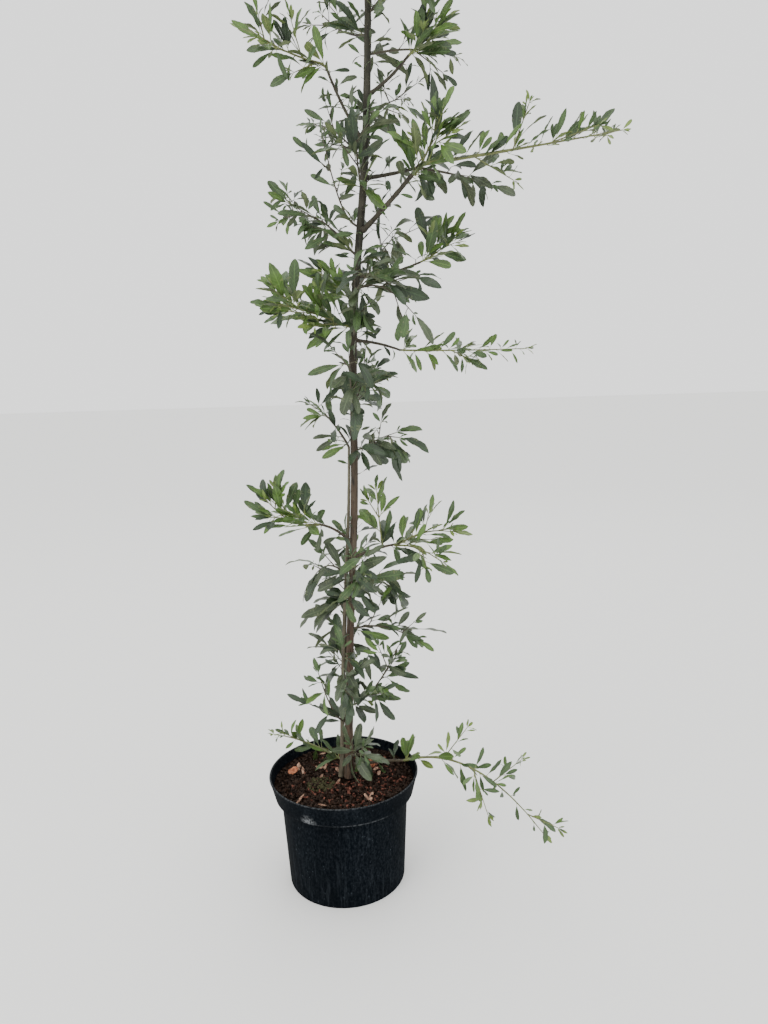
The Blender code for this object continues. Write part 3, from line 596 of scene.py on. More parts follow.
class Space:
    """The room that each limb and each mass of foliage holds."""

    def __init__(self) -> None:
        """Starts with nothing in it."""
        self.limb_rows: list[tuple[Vector, float]] = []
        self.line_rows: list[tuple[Vector, str]] = []
        self.owners: set[str] = set()
        self.limb_tree = kdtree.KDTree(0)
        self.line_tree = kdtree.KDTree(0)

    def add_limb(self, limb: Limb) -> None:
        """Takes in a limb that nothing may touch."""
        self.limb_rows += limb.samples(LINE_STEP)

    def add_line(self, owner: str, limb: Limb) -> None:
        """Takes in a stem or twig, whose mass owns the space nearest to it."""
        self.owners.add(owner)
        self.line_rows += [(point, owner) for point, _ in limb.samples(LINE_STEP)]

    def settle(self) -> None:
        """Builds the search trees once the lines are known."""
        self.limb_tree = self.tree([point for point, _ in self.limb_rows])
        self.line_tree = self.tree([point for point, _ in self.line_rows])

    @staticmethod
    def tree(points: list[Vector]) -> kdtree.KDTree:
        """Puts points in a search tree.

        Args:
            points: The points.

        Returns:
            The tree, which finds their numbers.
        """
        found = kdtree.KDTree(len(points))
        for i, point in enumerate(points):
            found.insert(point, i)
        found.balance()
        return found

    def limb_distance(self, point: Vector) -> float:
        """Returns how far a point is from the skin of the nearest limb."""
        _, index, distance = self.limb_tree.find(point)
        return distance - self.limb_rows[index][1]

    def lead(self, owner: str, point: Vector) -> float:
        """Compares a point's distances from the lines.

        Args:
            owner: The point's own mass.
            point: The point.

        Returns:
            How much nearer it is to its own mass's lines than to any other's.
        """
        own = self.line_tree.find(point, filter=lambda i: self.line_rows[i][1] == owner)
        other = self.line_tree.find(point, filter=lambda i: self.line_rows[i][1] != owner)
        return other[2] - own[2]

    def over_pot(self, point: Vector) -> bool:
        """Tests a place against the ground and the pot.

        Args:
            point: The place.

        Returns:
            Whether it is clear of the ground, the soil, the pot and its rim.
        """
        if point.z < LOWEST_LEAF:
            return False
        away = hypot(point.x, point.y)
        if away < POT_RIM_RADIUS - 2 * RIM_CLEARANCE:
            return point.z > SOIL_HEIGHT + RIM_CLEARANCE
        return point.z > POT_HEIGHT + RIM_CLEARANCE or away > POT_RIM_RADIUS + RIM_CLEARANCE

    def line_fits(self, owner: str, limb: Limb) -> bool:
        """Tests a side twig against every limb and every other mass's lines.

        Args:
            owner: The mass that bears it.
            limb: The twig.

        Returns:
            Whether it keeps clear of them.
        """
        for point, _ in limb.samples(LINE_STEP)[TWIG_ROOT_SAMPLES:]:
            if self.limb_distance(point) < TWIG_CLEARANCE or not self.over_pot(point):
                return False
            if self.lead(owner, point) < TWIG_CLEARANCE:
                return False
        return True

    @staticmethod
    def inside(outline: list[Vector]) -> bool:
        """Returns whether all of some points are within the solids' reach."""
        return all(
            low < place < high for point in outline for low, place, high in zip(CAD_BOX[0], point, CAD_BOX[1])
        )

    def holds(self, owner: str, outline: list[Vector]) -> bool:
        """Tests a leaf's place.

        Args:
            owner: The mass or the limb that bears it.
            outline: Points round its edge.

        Returns:
            Whether it touches no limb, is within the solids' reach and stays in its own mass's space.
        """
        if not self.inside(outline):
            return False
        for point in outline:
            if self.limb_distance(point) < LEAF_CLEARANCE or not self.over_pot(point):
                return False
            _, index, _ = self.line_tree.find(point)
            if owner in self.owners and self.line_rows[index][1] != owner:
                return False
        return True


def twig_limb(stem: Limb, share: float, turn: float, rng: Random) -> Limb:
    """Grows a straight side twig from a stem's axis, lifted a little.

    Args:
        stem: The stem.
        share: How far along the stem it leaves, as a share of the length.
        turn: Which way it leans.
        rng: The source of its odds.

    Returns:
        The twig.
    """
    distance = stem.length * share
    root, along, _ = stem.at(distance)
    heading = turned_away(along, TWIG_SPREAD, turn) + Vector((0, 0, TWIG_LIFT))
    heading.normalize()
    length = (stem.length - TWIG_FADE * distance) * rng.uniform(*TWIG_SHARE)
    length = min(length, TWIG_LONGEST)
    return Limb([root, root + heading * length], [TWIG_ROOT_RADIUS, TWIG_TIP_RADIUS], heading)


def make_twigs(shoot: Shoot, stem: Limb, space: Space) -> list[Limb]:
    """Grows the side twigs of a stem.

    Args:
        shoot: The mass.
        stem: Its stem.
        space: The room that is taken, to which the twigs are added.

    Returns:
        The twigs that keep to their mass's own space.
    """
    rng = Random("twigs " + shoot.name)
    twigs = []
    turn = rng.uniform(0, tau)
    for i in range(shoot.twigs):
        for _ in range(TWIG_ATTEMPTS):
            turn += GOLDEN_ANGLE
            share = (i + 1 + rng.uniform(-TWIG_JITTER, TWIG_JITTER)) / (shoot.twigs + 1)
            twig = twig_limb(stem, share, turn, rng)
            if space.line_fits(shoot.name, twig):
                twigs.append(twig)
                space.add_line(shoot.name, twig)
                break
    return twigs


class Paint:
    """One material, built up from named steps."""

    def __init__(self, name: str, roughness: float, specular: float, colour: Colour | None = None) -> None:
        """Starts a material.

        Args:
            name: The material's name.
            roughness: How rough the surface is all over.
            specular: How strongly it reflects.
            colour: Its colour, where that is the same all over.
        """
        self.material = bpy.data.materials.new(name)
        self.material.use_nodes = True
        self.tree = self.material.node_tree
        self.shader = self.tree.nodes["Principled BSDF"]
        self.feed(self.shader, {"Roughness": roughness, "Specular IOR Level": specular})
        if colour:
            self.feed(self.shader, {"Base Color": (*colour, 1.0)})
        self.place = self.step("TexCoord", "Object", {})

    def feed(self, node: bpy.types.Node, inputs: Inputs) -> None:
        """Fills a node's inputs.

        Args:
            node: The node.
            inputs: For each input the output that is joined to it, or the value that is set there.
        """
        for name, value in inputs.items():
            if isinstance(value, Socket):
                self.tree.links.new(value, node.inputs[name])
            else:
                node.inputs[name].default_value = value

    def step(self, kind: str, output: str | int, inputs: Inputs, **settings: str) -> Socket:
        """Adds a node.

        Args:
            kind: Its kind.
            output: Which of its outputs is wanted.
            inputs: What goes in.
            settings: Its own settings.

        Returns:
            That output.
        """
        made = self.tree.nodes.new(f"ShaderNode{kind}")
        for name, value in settings.items():
            setattr(made, name, value)
        self.feed(made, inputs)
        return made.outputs[output]

    def noise(
        self, scale: float, stretch: Triple = (1, 1, 1), detail: float = 4, rough: float = 0.55
    ) -> Socket:
        """Adds a noise pattern.

        Args:
            scale: How many times a metre it repeats.
            stretch: How much closer it repeats along each axis.
            detail: How many finer layers it has.
            rough: How strong those layers are.

        Returns:
            Its value.
        """
        place = self.step("Mapping", "Vector", {"Vector": self.place, "Scale": stretch})
        inputs = {"Vector": place, "Scale": scale, "Detail": detail, "Roughness": rough}
        return self.step("TexNoise", "Fac", inputs)

    def height(self) -> Socket:
        """Returns the height above the ground as a value."""
        return self.step("SeparateXYZ", "Z", {"Vector": self.place})

    def marks(self) -> tuple[Socket, Socket]:
        """Returns how far along its blade a point lies, and how far from the midrib."""
        marks = self.step("Attribute", "Vector", {}, attribute_name=MARKS)
        along, off = (self.step("SeparateXYZ", axis, {"Vector": marks}) for axis in ("X", "Y"))
        return along, self.math("ABSOLUTE", off, 0.0)

    def nearness(self, place: Triple) -> Socket:
        """Returns how far the surface is from a place."""
        return self.step("VectorMath", "Value", {0: self.place, 1: place}, operation="DISTANCE")

    def window(self, value: Socket, low: float, high: float) -> Socket:
        """Spreads the stretch of a value from low to high, or from high down to low, from nothing to one."""
        return self.step("MapRange", "Result", {"Value": value, "From Min": low, "From Max": high})

    def math(self, operation: str, first: Socket, second: Socket | float) -> Socket:
        """Combines a value with another one or with a number."""
        return self.step("Math", "Value", {0: first, 1: second}, operation=operation)

    def product(self, first: Socket, *others: Socket | float) -> Socket:
        """Multiplies shares, so that all of them have to be there.

        Args:
            first: The first share.
            others: The others, or numbers.

        Returns:
            Their product.
        """
        for other in others:
            first = self.math("MULTIPLY", first, other)
        return first

    def ramp(self, value: Socket, stops: list[tuple[float, Colour]]) -> Socket:
        """Turns a value into colours.

        Args:
            value: The value.
            stops: The places and colours of the ramp.

        Returns:
            The colour.
        """
        made = self.tree.nodes.new("ShaderNodeValToRGB")
        elements = made.color_ramp.elements
        while len(elements) < len(stops):
            elements.new(1.0)
        for element, (place, colour) in zip(elements, stops):
            element.position = place
            element.color = (*colour, 1.0)
        self.feed(made, {"Fac": value})
        return made.outputs["Color"]

    def blend(self, share: Socket, first: Socket, second: Socket | Colour) -> Socket:
        """Lays the second colour over the first, as far as the share says."""
        above = (*second, 1.0) if isinstance(second, tuple) else second
        return self.step("Mix", 2, {"Factor": share, 6: first, 7: above}, data_type="RGBA")

    def colour(self, value: Socket) -> None:
        """Sets the surface's colour."""
        self.feed(self.shader, {"Base Color": value})

    def roughness(self, value: Socket) -> None:
        """Sets the surface's roughness."""
        self.feed(self.shader, {"Roughness": value})

    def bump(self, value: Socket, depth: float, strength: float = 1.0) -> None:
        """Raises the surface by a pattern, with its depth in metres."""
        inputs = {"Height": value, "Distance": depth, "Strength": strength}
        self.feed(self.shader, {"Normal": self.step("Bump", "Normal", inputs)})


@dataclass(frozen=True)
class PotPlastic:
    """Blue-black moulded plastic: mottled dust, upright scuffs and pale edges, partly worn by rubbing and
    partly a painted highlight.
    """

    body: Colour = (0.0009, 0.0018, 0.0029)
    dust: Colour = (0.0230, 0.0275, 0.0330)
    rub_and_highlight: Colour = (0.150, 0.158, 0.165)
    scuffed_below: float = 0.100

    # The worst wear is a spot on the band's lower edge; the lip and the rest of that edge are pale partly
    # from rubbing and partly as a painted highlight
    rub_place: Triple = (-0.040, -0.0812, 0.1225)
    rub_radius: float = 0.012
    edge_rub_and_highlight: float = 0.42
    lip_fade: Pair = (0.1456, 0.1468)
    seam_below: Pair = (-0.0012, -0.0003)
    seam_above: Pair = (0.0016, 0.0006)

    def rubbed_and_highlit(self, paint: Paint, height: Socket, grain: Socket, broken: Socket) -> Socket:
        """Finds where the edges are pale: worn by rubbing, and along the lip and the band's lower edge also
        lit by a painted highlight.

        Args:
            paint: The material.
            height: The height above the ground.
            grain: The pattern of fine grains.
            broken: How far the pale line of the band's edge holds, since it comes and goes, so that its
                painted highlight is dotted.

        Returns:
            The share of the pale colour, which is partly wear and partly painted highlight.
        """
        lip = paint.product(paint.window(height, *self.lip_fade), paint.window(grain, 0.36, 0.66))
        seam = POT_HEIGHT - POT_BAND_HEIGHT
        below = paint.window(height, *(seam + away for away in self.seam_below))
        above = paint.window(height, *(seam + away for away in self.seam_above))
        edge = paint.product(below, above, broken)
        chafed = paint.window(paint.nearness(self.rub_place), self.rub_radius, 0.2 * self.rub_radius)
        worst = paint.product(chafed, paint.window(grain, 0.40, 0.58))
        return paint.math("MAXIMUM", paint.product(paint.math("MAXIMUM", lip, edge), self.edge_rub_and_highlight), worst)

    def material(self) -> Material:
        """Returns the finished material."""
        paint = Paint("pot plastic", 0.5, 0.02)
        height = paint.height()
        cloud = paint.noise(16, (1, 1, 0.6), 5)
        grain = paint.noise(420, (1, 1, 0.55), 4, 0.75)
        scuffs = paint.noise(260, (1, 1, 0.05), 3, 0.7)
        specks = paint.noise(420, (1, 1, 0.5), 2)
        plain = paint.ramp(cloud, [(0.3, self.body), (0.75, scaled(self.body, 1.9))])
        grained = paint.product(paint.window(grain, 0.44, 0.74), paint.window(cloud, 0.24, 0.80))
        dusty = paint.blend(grained, plain, self.dust)
        low = paint.window(height, self.scuffed_below, 0.0)
        worn = paint.math("MAXIMUM", low, paint.window(cloud, 0.50, 0.80))
        streaked = paint.blend(paint.product(paint.window(scuffs, 0.52, 0.78), worn), dusty, self.dust)
        specked = paint.blend(paint.window(specks, 0.68, 0.80), streaked, scaled(self.dust, 2))
        broken = paint.product(paint.window(specks, 0.35, 0.60), paint.window(cloud, 0.40, 0.62))
        # Pale edges, partly wear and partly painted highlight, laid over the dusty body
        paint.colour(paint.blend(self.rubbed_and_highlit(paint, height, grain, broken), specked, self.rub_and_highlight))
        paint.roughness(paint.window(cloud, -1.4, 1.1))
        paint.bump(paint.math("ADD", scuffs, grain), 0.00035, 0.6)
        return paint.material


@dataclass(frozen=True)
class Earth:
    """Moist dark compost: darkest in the hollows of the crumbs, partly from wetness and partly as painted
    shade, and brightest on their crests as a painted highlight.
    """

    wet_and_shaded: Colour = (0.0011, 0.0007, 0.0005)
    dry: Colour = (0.0130, 0.0072, 0.0046)

    def material(self) -> Material:
        """Returns the finished material."""
        paint = Paint("compost", 0.95, 0.03)
        crumbs = paint.noise(330, detail=6, rough=0.7)
        patches = paint.noise(38, detail=3)
        # The first stop is painted shade in the hollows as well as wetness; the last, five times the dry
        # colour, is a painted highlight on the crests
        base = paint.ramp(crumbs, [(0.42, self.wet_and_shaded), (0.54, self.dry), (0.70, scaled(self.dry, 5))])
        paint.colour(paint.blend(paint.window(patches, 0.50, 0.95), base, self.dry))
        paint.bump(crumbs, 0.0030)
        return paint.material


@dataclass(frozen=True)
class Fragment:
    """Loose stuff on the compost, such as bark chips, in a darker and a lighter colour. The darker lies in
    the hollows of its grain and is partly painted shade; the lighter lies on the crests and is partly painted
    highlight.
    """

    name: str
    dark: Colour
    light: Colour

    def material(self) -> Material:
        """Returns the finished material."""
        paint = Paint(self.name, 0.80, 0.05)
        grain = paint.noise(300, (1, 1, 1), 4)
        # Dark in the grain's hollows and light on its crests: partly painted shade and painted highlight
        paint.colour(paint.ramp(grain, [(0.32, self.dark), (0.68, self.light)]))
        paint.bump(grain, 0.0006)
        return paint.material


@dataclass(frozen=True)
class BarkFinish:
    """Bark from low to high, with fine upright cracks and a bloom of lenticels and pale film."""

    name: str
    low: Colour
    high: Colour
    crack: Colour
    bloom: Colour

    def material(self) -> Material:
        """Returns the finished material."""
        paint = Paint(self.name, 0.72, 0.35)
        grain = paint.noise(420, (1, 1, 0.12), 5, 0.65)
        blotch = paint.noise(65, (1, 1, 0.35), 4)
        dots = paint.noise(700, (1, 1, 0.8), 2)
        base = paint.ramp(paint.window(paint.height(), 0.30, 0.80), [(0.0, self.low), (1.0, self.high)])
        cracked = paint.blend(paint.window(grain, 0.52, 0.36), base, self.crack)
        filmed = paint.blend(paint.product(paint.window(blotch, 0.52, 0.76), 0.50), cracked, self.bloom)
        paint.colour(paint.blend(paint.window(dots, 0.68, 0.74), filmed, self.bloom))
        paint.bump(paint.math("ADD", grain, dots), 0.0006)
        return paint.material


@dataclass(frozen=True)
class TwigFinish:
    """The skin of twigs, leaf stalks and midribs, in a darker and a lighter colour."""

    name: str
    dark: Colour
    light: Colour
    roughness: float = 0.6

    def material(self) -> Material:
        """Returns the finished material."""
        paint = Paint(self.name, self.roughness, 0.4)
        patches = paint.noise(120, detail=3)
        paint.colour(paint.ramp(patches, [(0.35, self.dark), (0.65, self.light)]))
        paint.bump(paint.noise(900, (1, 1, 0.4), 3), 0.0002)
        return paint.material


@dataclass(frozen=True)
class LeafFinish:
    """A leathery leaf: its upper side has a soft sheen, its underside is paler and dull.

    Each half has side veins, which run forward by a slant, a share of the blade, on their way to the edge.
    """

    tint: Tint
    top: Colour
    under: Colour
    roughness: float
    veins: float = 9.0
    slant: float = 0.16
    rib_paleness: float = 2.1

    def side(self, name: str, colour: Colour, roughness: float, contrast: float) -> Material:
        """Makes the material of one side.

        Args:
            name: Which side it is.
            colour: Its middle colour.
            roughness: How rough it is.
            contrast: How far the lighter and darker patches part.

        Returns:
            The material.
        """
        paint = Paint(f"{self.tint.value} leaf {name}", roughness, 0.5)
        along, off = paint.marks()
        patches = paint.noise(58, detail=2)
        grain = paint.noise(520, detail=3)
        pale = scaled(colour, self.rib_paleness)
        stops = [(0.34, scaled(colour, 1 - contrast)), (0.66, scaled(colour, 1 + contrast))]
        base = paint.ramp(patches, stops)
        slanted = paint.math("SUBTRACT", along, paint.product(off, self.slant))
        wave = paint.math("SINE", paint.product(slanted, self.veins * tau), 0.0)
        vein = paint.window(wave, 0.62, 0.98)
        veined = paint.blend(paint.product(vein, 0.30), base, pale)
        rib = paint.window(off, 0.14, 0.05)
        paint.colour(paint.blend(paint.product(rib, 0.75), veined, pale))
        paint.bump(paint.math("SUBTRACT", grain, paint.math("MAXIMUM", vein, rib)), 0.00035, 0.6)
        return paint.material

    def materials(self) -> list[Material]:
        """Returns the materials of the upper side and the underside."""
        return [
            self.side("top", self.top, self.roughness, 0.34),
            self.side("underside", self.under, 0.70, 0.24),
        ]


LEAF_FINISHES = (
    LeafFinish(Tint.GREY, (0.044, 0.061, 0.029), (0.088, 0.105, 0.056), 0.46),
    LeafFinish(Tint.DEEP, (0.017, 0.034, 0.012), (0.064, 0.083, 0.039), 0.42),
    LeafFinish(Tint.MID, (0.037, 0.070, 0.019), (0.088, 0.114, 0.044), 0.42),
    LeafFinish(Tint.BRIGHT, (0.060, 0.114, 0.020), (0.114, 0.154, 0.045), 0.40),
    LeafFinish(Tint.YOUNG, (0.118, 0.176, 0.036), (0.150, 0.200, 0.062), 0.42),
    LeafFinish(Tint.RUSSET, (0.150, 0.036, 0.030), (0.180, 0.085, 0.060), 0.46),
)
TWIG_FINISHES = {
    Age.WOODY: TwigFinish("woody twig", (0.040, 0.032, 0.022), (0.080, 0.073, 0.046)),
    Age.GREEN: TwigFinish("green twig", (0.085, 0.092, 0.034), (0.160, 0.180, 0.062)),
}
STALK_FINISHES = {
    Age.WOODY: TwigFinish("grey stalk", (0.092, 0.112, 0.056), (0.140, 0.160, 0.080), 0.55),
    Age.GREEN: TwigFinish("pale stalk", (0.160, 0.205, 0.055), (0.250, 0.285, 0.092), 0.50),
}


class Pile:
    """Many small closed shapes, joined into one mesh."""

    def __init__(self) -> None:
        """Starts empty."""
        self.points: list[np.ndarray] = []
        self.faces: list[tuple[int, ...]] = []
        self.slots: list[int] = []
        self.marks: list[np.ndarray] = []
        self.count = 0

    def add(
        self,
        points: np.ndarray,
        faces: list[tuple[int, ...]],
        slots: list[int] | None = None,
        marks: np.ndarray | None = None,
    ) -> None:
        """Adds a shape.

        Args:
            points: Its corners, a row each.
            faces: Its faces, as the numbers of their corners.
            slots: Each face's material, or none for the first.
            marks: How far along and across the shape each corner lies, where its pattern follows that.
        """
        self.points.append(points)
        if marks is not None:
            self.marks.append(marks)
        self.faces += [tuple(corner + self.count for corner in face) for face in faces]
        self.slots += slots or [0] * len(faces)
        self.count += len(points)

    def piece(self, name: str, materials: list[Material], sharp: float) -> Piece:
        """Makes the joined piece.

        Args:
            name: The piece's name.
            materials: Its materials.
            sharp: The angle between faces past which an edge stays sharp.

        Returns:
            The piece.
        """
        mesh = bpy.data.meshes.new(name)
        mesh.from_pydata(np.concatenate(self.points), [], self.faces)
        mesh.polygons.foreach_set("material_index", self.slots)
        if self.marks:
            marks = mesh.attributes.new(MARKS, "FLOAT_VECTOR", "POINT")
            marks.data.foreach_set("vector", np.concatenate(self.marks).ravel())
        mesh.shade_smooth()
        mesh.set_sharp_from_angle(angle=sharp)
        for material in materials:
            mesh.materials.append(material)
        made = bpy.data.objects.new(name, mesh)
        bpy.context.scene.collection.objects.link(made)
        return made


def tube(points: list[Vector], radii: list[float], sides: int) -> Shape:
    """Skins a thin limb, pointed at its tip.

    Args:
        points: The points of its axis.
        radii: The radius at each.
        sides: How many sides it has.

    Returns:
        Its corners and faces.
    """
    corners = []
    u, _ = across((points[1] - points[0]).normalized())
    last = len(points) - 1
    for i, (point, radius) in enumerate(zip(points, radii)):
        along = (points[min(i + 1, last)] - points[max(i - 1, 0)]).normalized()
        u = (u - along * u.dot(along)).normalized()
        v = along.cross(u)
        for k in range(sides):
            turn = tau * k / sides
            corners.append(point + (u * cos(turn) + v * sin(turn)) * radius)
    faces = [tuple(reversed(range(sides)))]
    for i in range(last):
        for k in range(sides):
            low, following = i * sides + k, i * sides + (k + 1) % sides
            faces.append((low, following, following + sides, low + sides))
    corners.append(points[-1] + (points[-1] - points[-2]).normalized() * radii[-1])
    tip = len(corners) - 1
    for k in range(sides):
        faces.append((last * sides + k, last * sides + (k + 1) % sides, tip))
    return np.array(corners), faces


def register(piece: Piece, slot: str, *nodes: str) -> None:
    """Joins a finished piece to the frame and reports it.

    Args:
        piece: The piece.
        slot: The record's material slot; not used.
        nodes: The solids that it stands for.
    """
    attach(piece, BODY)
    if nodes:
        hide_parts(*nodes)
    triangles = sum(len(face.vertices) - 2 for face in piece.data.polygons)
    LOG.info("%s: %d triangles, stands for %d solids", piece.name, triangles, len(nodes))


class Bench:
    """The modelling steps that the sub-assemblies share."""

    @staticmethod
    def clear() -> None:
        """Leaves object mode with nothing selected."""
        if bpy.context.object and bpy.context.object.mode == "EDIT":
            bpy.ops.object.mode_set(mode="OBJECT")
        bpy.ops.object.select_all(action="DESELECT")

    @staticmethod
    def named(name: str) -> Piece:
        """Names the new active object and its mesh.

        Args:
            name: The name.

        Returns:
            The object.
        """
        made = bpy.context.object
        made.name = name
        made.data.name = name
        return made

    @classmethod
    def turned(cls, name: str, rows: list[Pair], sides: int) -> Piece:
        """Turns a solid by extruding a disc from row to row.

        Args:
            name: The piece's name.
            rows: The (radius, height) of each row, from the first cap to the last.
            sides: How many sides it has.

        Returns:
            The piece, in edit mode with its last cap selected.
        """
        cls.clear()
        radius, height = rows[0]
        place = (0, 0, height)
        bpy.ops.mesh.primitive_circle_add(vertices=sides, radius=radius, fill_type="NGON", location=place)
        made = cls.named(name)
        bpy.ops.object.transform_apply(location=True)
        bpy.ops.object.mode_set(mode="EDIT")
        for new_radius, new_height in rows[1:]:
            bpy.ops.mesh.extrude_region_move(TRANSFORM_OT_translate={"value": (0, 0, new_height - height)})
            share = new_radius / radius
            bpy.ops.transform.resize(value=(share, share, 1), center_override=(0, 0, new_height))
            radius, height = new_radius, new_height
        return made

    @classmethod
    def roughened(cls, name: str, cuts: int, offset: float, seed: int) -> Shape:
        """Roughens a new primitive and takes it off the bench.

        Args:
            name: What it is.
            cuts: How many times each edge is cut first.
            offset: How far its corners are pushed about.
            seed: The seed of that.

        Returns:
            Its corners and faces.
        """
        made = cls.named(name)
        bpy.ops.object.mode_set(mode="EDIT")
        if cuts:
            bpy.ops.mesh.subdivide(number_cuts=cuts)
        bpy.ops.transform.vertex_random(offset=offset, seed=seed)
        bpy.ops.object.mode_set(mode="OBJECT")
        points = np.array([vertex.co for vertex in made.data.vertices])
        faces = [tuple(face.vertices) for face in made.data.polygons]
        bpy.data.objects.remove(made)
        return points, faces

    @staticmethod
    def face_out() -> None:
        """Points every face of the mesh in edit mode outwards."""
        bpy.ops.mesh.select_all(action="SELECT")
        bpy.ops.mesh.normals_make_consistent(inside=False)
        bpy.ops.mesh.select_all(action="DESELECT")

    @staticmethod
    def relief(made: Piece, size: float, depth: float, group: str = "") -> None:
        """Pushes a surface in and out by a cloudy pattern.

        Args:
            made: The piece.
            size: The size of the lumps.
            depth: The height from hollow to crest.
            group: The points that take part, or none for all.
        """
        texture = bpy.data.textures.new(f"{made.name} relief", "CLOUDS")
        texture.noise_scale = size
        texture.noise_depth = 3
        push = made.modifiers.new("relief", "DISPLACE")
        push.texture = texture
        push.strength = depth
        push.mid_level = 0.5
        push.vertex_group = group
        bpy.context.view_layer.objects.active = made
        bpy.ops.object.modifier_apply(modifier=push.name)

    @staticmethod
    def smooth(made: Piece, angle: float) -> None:
        """Shades a piece smooth except at its edges.

        Args:
            made: The piece.
            angle: The angle past which an edge stays sharp, in degrees.
        """
        bpy.ops.object.select_all(action="DESELECT")
        made.select_set(True)
        bpy.context.view_layer.objects.active = made
        bpy.ops.object.shade_smooth_by_angle(angle=radians(angle))


@dataclass
class NurseryPot:
    """The round container: a tapering body, a flared band, a rolled lip, a raised foot and drain holes."""

    height: float = POT_HEIGHT
    rim_radius: float = POT_RIM_RADIUS
    band_height: float = POT_BAND_HEIGHT
    band_radius: float = 0.0905
    neck_radius: float = 0.0832
    base_radius: float = 0.0762
    wall: float = 0.0020
    floor: float = 0.0030
    edge: float = 0.0012
    lip_radius: float = 0.0013
    lip_inset: float = 0.0014
    band_edge: float = 0.0008
    neck_inset: float = 0.0004
    foot_width: float = 0.006
    foot_depth: float = 0.0012
    holes: int = 8
    hole_radius: float = 0.0055
    hole_circle: float = 0.056
    sides: int = 120
    sharp: float = 32.0
    plastic: PotPlastic = PotPlastic()

    @staticmethod
    def arc(centre: Pair, radius: float, first: float, last: float, steps: int) -> list[Pair]:
        """Returns the rows of a rounded edge, from one angle to another in degrees from straight out."""
        angles = [radians(first + (last - first) * i / steps) for i in range(steps + 1)]
        return [(centre[0] + radius * cos(a), centre[1] + radius * sin(a)) for a in angles]

    def rows(self) -> list[Pair]:
        """Returns the section from the middle of the underside round to the middle of the floor."""
        neck = self.height - self.band_height
        inner = self.wall
        rows = [
            (self.base_radius - self.foot_width - self.foot_depth, self.foot_depth),
            (self.base_radius - self.foot_width, 0.0),
        ]
        rows += self.arc((self.base_radius - self.edge, self.edge), self.edge, -90, 0, 4)
        rows.append((self.neck_radius - self.neck_inset, neck - 2 * self.edge))
        rows.append((self.neck_radius, neck - self.edge))
        rows += self.arc((self.band_radius - self.band_edge, neck), self.band_edge, -70, 10, 3)
        rows.append((self.rim_radius - self.edge, self.height - 3.4 * self.lip_radius))
        lip_centre = (self.rim_radius - self.lip_radius, self.height - self.lip_radius)
        rows += self.arc(lip_centre, self.lip_radius, -40, 180, 9)
        rows.append((self.rim_radius - inner - self.lip_inset, self.height - 3 * self.lip_radius))
        rows.append((self.band_radius - inner, neck + self.edge))
        rows.append((self.neck_radius - inner, neck - self.edge))
        rows.append((self.base_radius - inner, self.floor))
        return rows

    def drain(self, pot: Piece) -> None:
        """Cuts the ring of drain holes through the floor.

        Args:
            pot: The turned pot.
        """
        Bench.clear()
        for i in range(self.holes):
            turn = tau * (i + 0.5) / self.holes
            x, y = self.hole_circle * cos(turn), self.hole_circle * sin(turn)
            bpy.ops.mesh.primitive_cylinder_add(
                vertices=24, radius=self.hole_radius, depth=3 * self.floor, location=(x, y, self.floor / 2)
            )
            cutter = Bench.named(f"drain_{i}")
            cut = pot.modifiers.new("drain", "BOOLEAN")
            cut.operation = "DIFFERENCE"
            cut.object = cutter
            bpy.context.view_layer.objects.active = pot
            bpy.ops.object.modifier_apply(modifier=cut.name)
            bpy.data.objects.remove(cutter)

    def build(self) -> None:
        """Makes the pot."""
        pot = Bench.turned("nursery_pot", self.rows(), self.sides)
        Bench.face_out()
        bpy.ops.object.mode_set(mode="OBJECT")
        self.drain(pot)
        Bench.smooth(pot, self.sharp)
        pot.data.materials.append(self.plastic.material())
        register(pot, "pot", "pot")


@dataclass(frozen=True)
class Litter:
    """One kind of loose stuff on the compost.

    Attributes:
        name: The piece's name, which also seeds it.
        finish: Its finish.
        sizes: The least and greatest length, width and thickness.
        tilt: How far a copy may lean, in radians.
        rise: How far above the bed it lies, on what is under it.
        prop: How far it is propped up to face the front, in radians.
    """

    name: str
    finish: Fragment
    sizes: tuple[Pair, Pair, Pair]
    tilt: float
    rise: float = 0.0
    prop: float = 0.0


CRUMBS = Litter(
    "crumbs",
    Fragment("crumbs", (0.0008, 0.0005, 0.0004), (0.058, 0.038, 0.029)),
    ((0.0016, 0.0042), (0.0014, 0.0034), (0.0012, 0.0030)),
    tilt=0.9,
)
CHIPS = Litter(
    "bark_chips",
    Fragment("dark bark chips", (0.0030, 0.0018, 0.0013), (0.034, 0.018, 0.012)),
    ((0.003, 0.010), (0.0015, 0.0045), (0.0010, 0.0022)),
    tilt=0.6,
)
RED_CHIPS = Litter(
    "red_chips",
    Fragment("reddish bark chips", (0.012, 0.0040, 0.0030), (0.230, 0.092, 0.066)),
    ((0.003, 0.009), (0.0014, 0.0036), (0.0010, 0.0022)),
    tilt=0.8,
)
SLIVERS = Litter(
    "wood_slivers",
    Fragment("pale wood slivers", (0.100, 0.050, 0.036), (0.460, 0.290, 0.205)),
    ((0.012, 0.026), (0.0036, 0.0066), (0.0018, 0.0030)),
    tilt=0.35,
    rise=0.0010,
)
FLAKES = Litter(
    "rosy_flakes",
    Fragment("rosy flakes", (0.180, 0.052, 0.028), (0.500, 0.210, 0.115)),
    ((0.017, 0.020), (0.010, 0.012), (0.0024, 0.0030)),
    tilt=0.2,
    rise=0.0042,
    prop=0.75,
)
MOSS = Litter(
    "moss",
    Fragment("moss", (0.012, 0.012, 0.006), (0.086, 0.082, 0.042)),
    ((0.0020, 0.0042), (0.0020, 0.0042), (0.0026, 0.0046)),
    tilt=0.3,
    rise=0.0004,
)


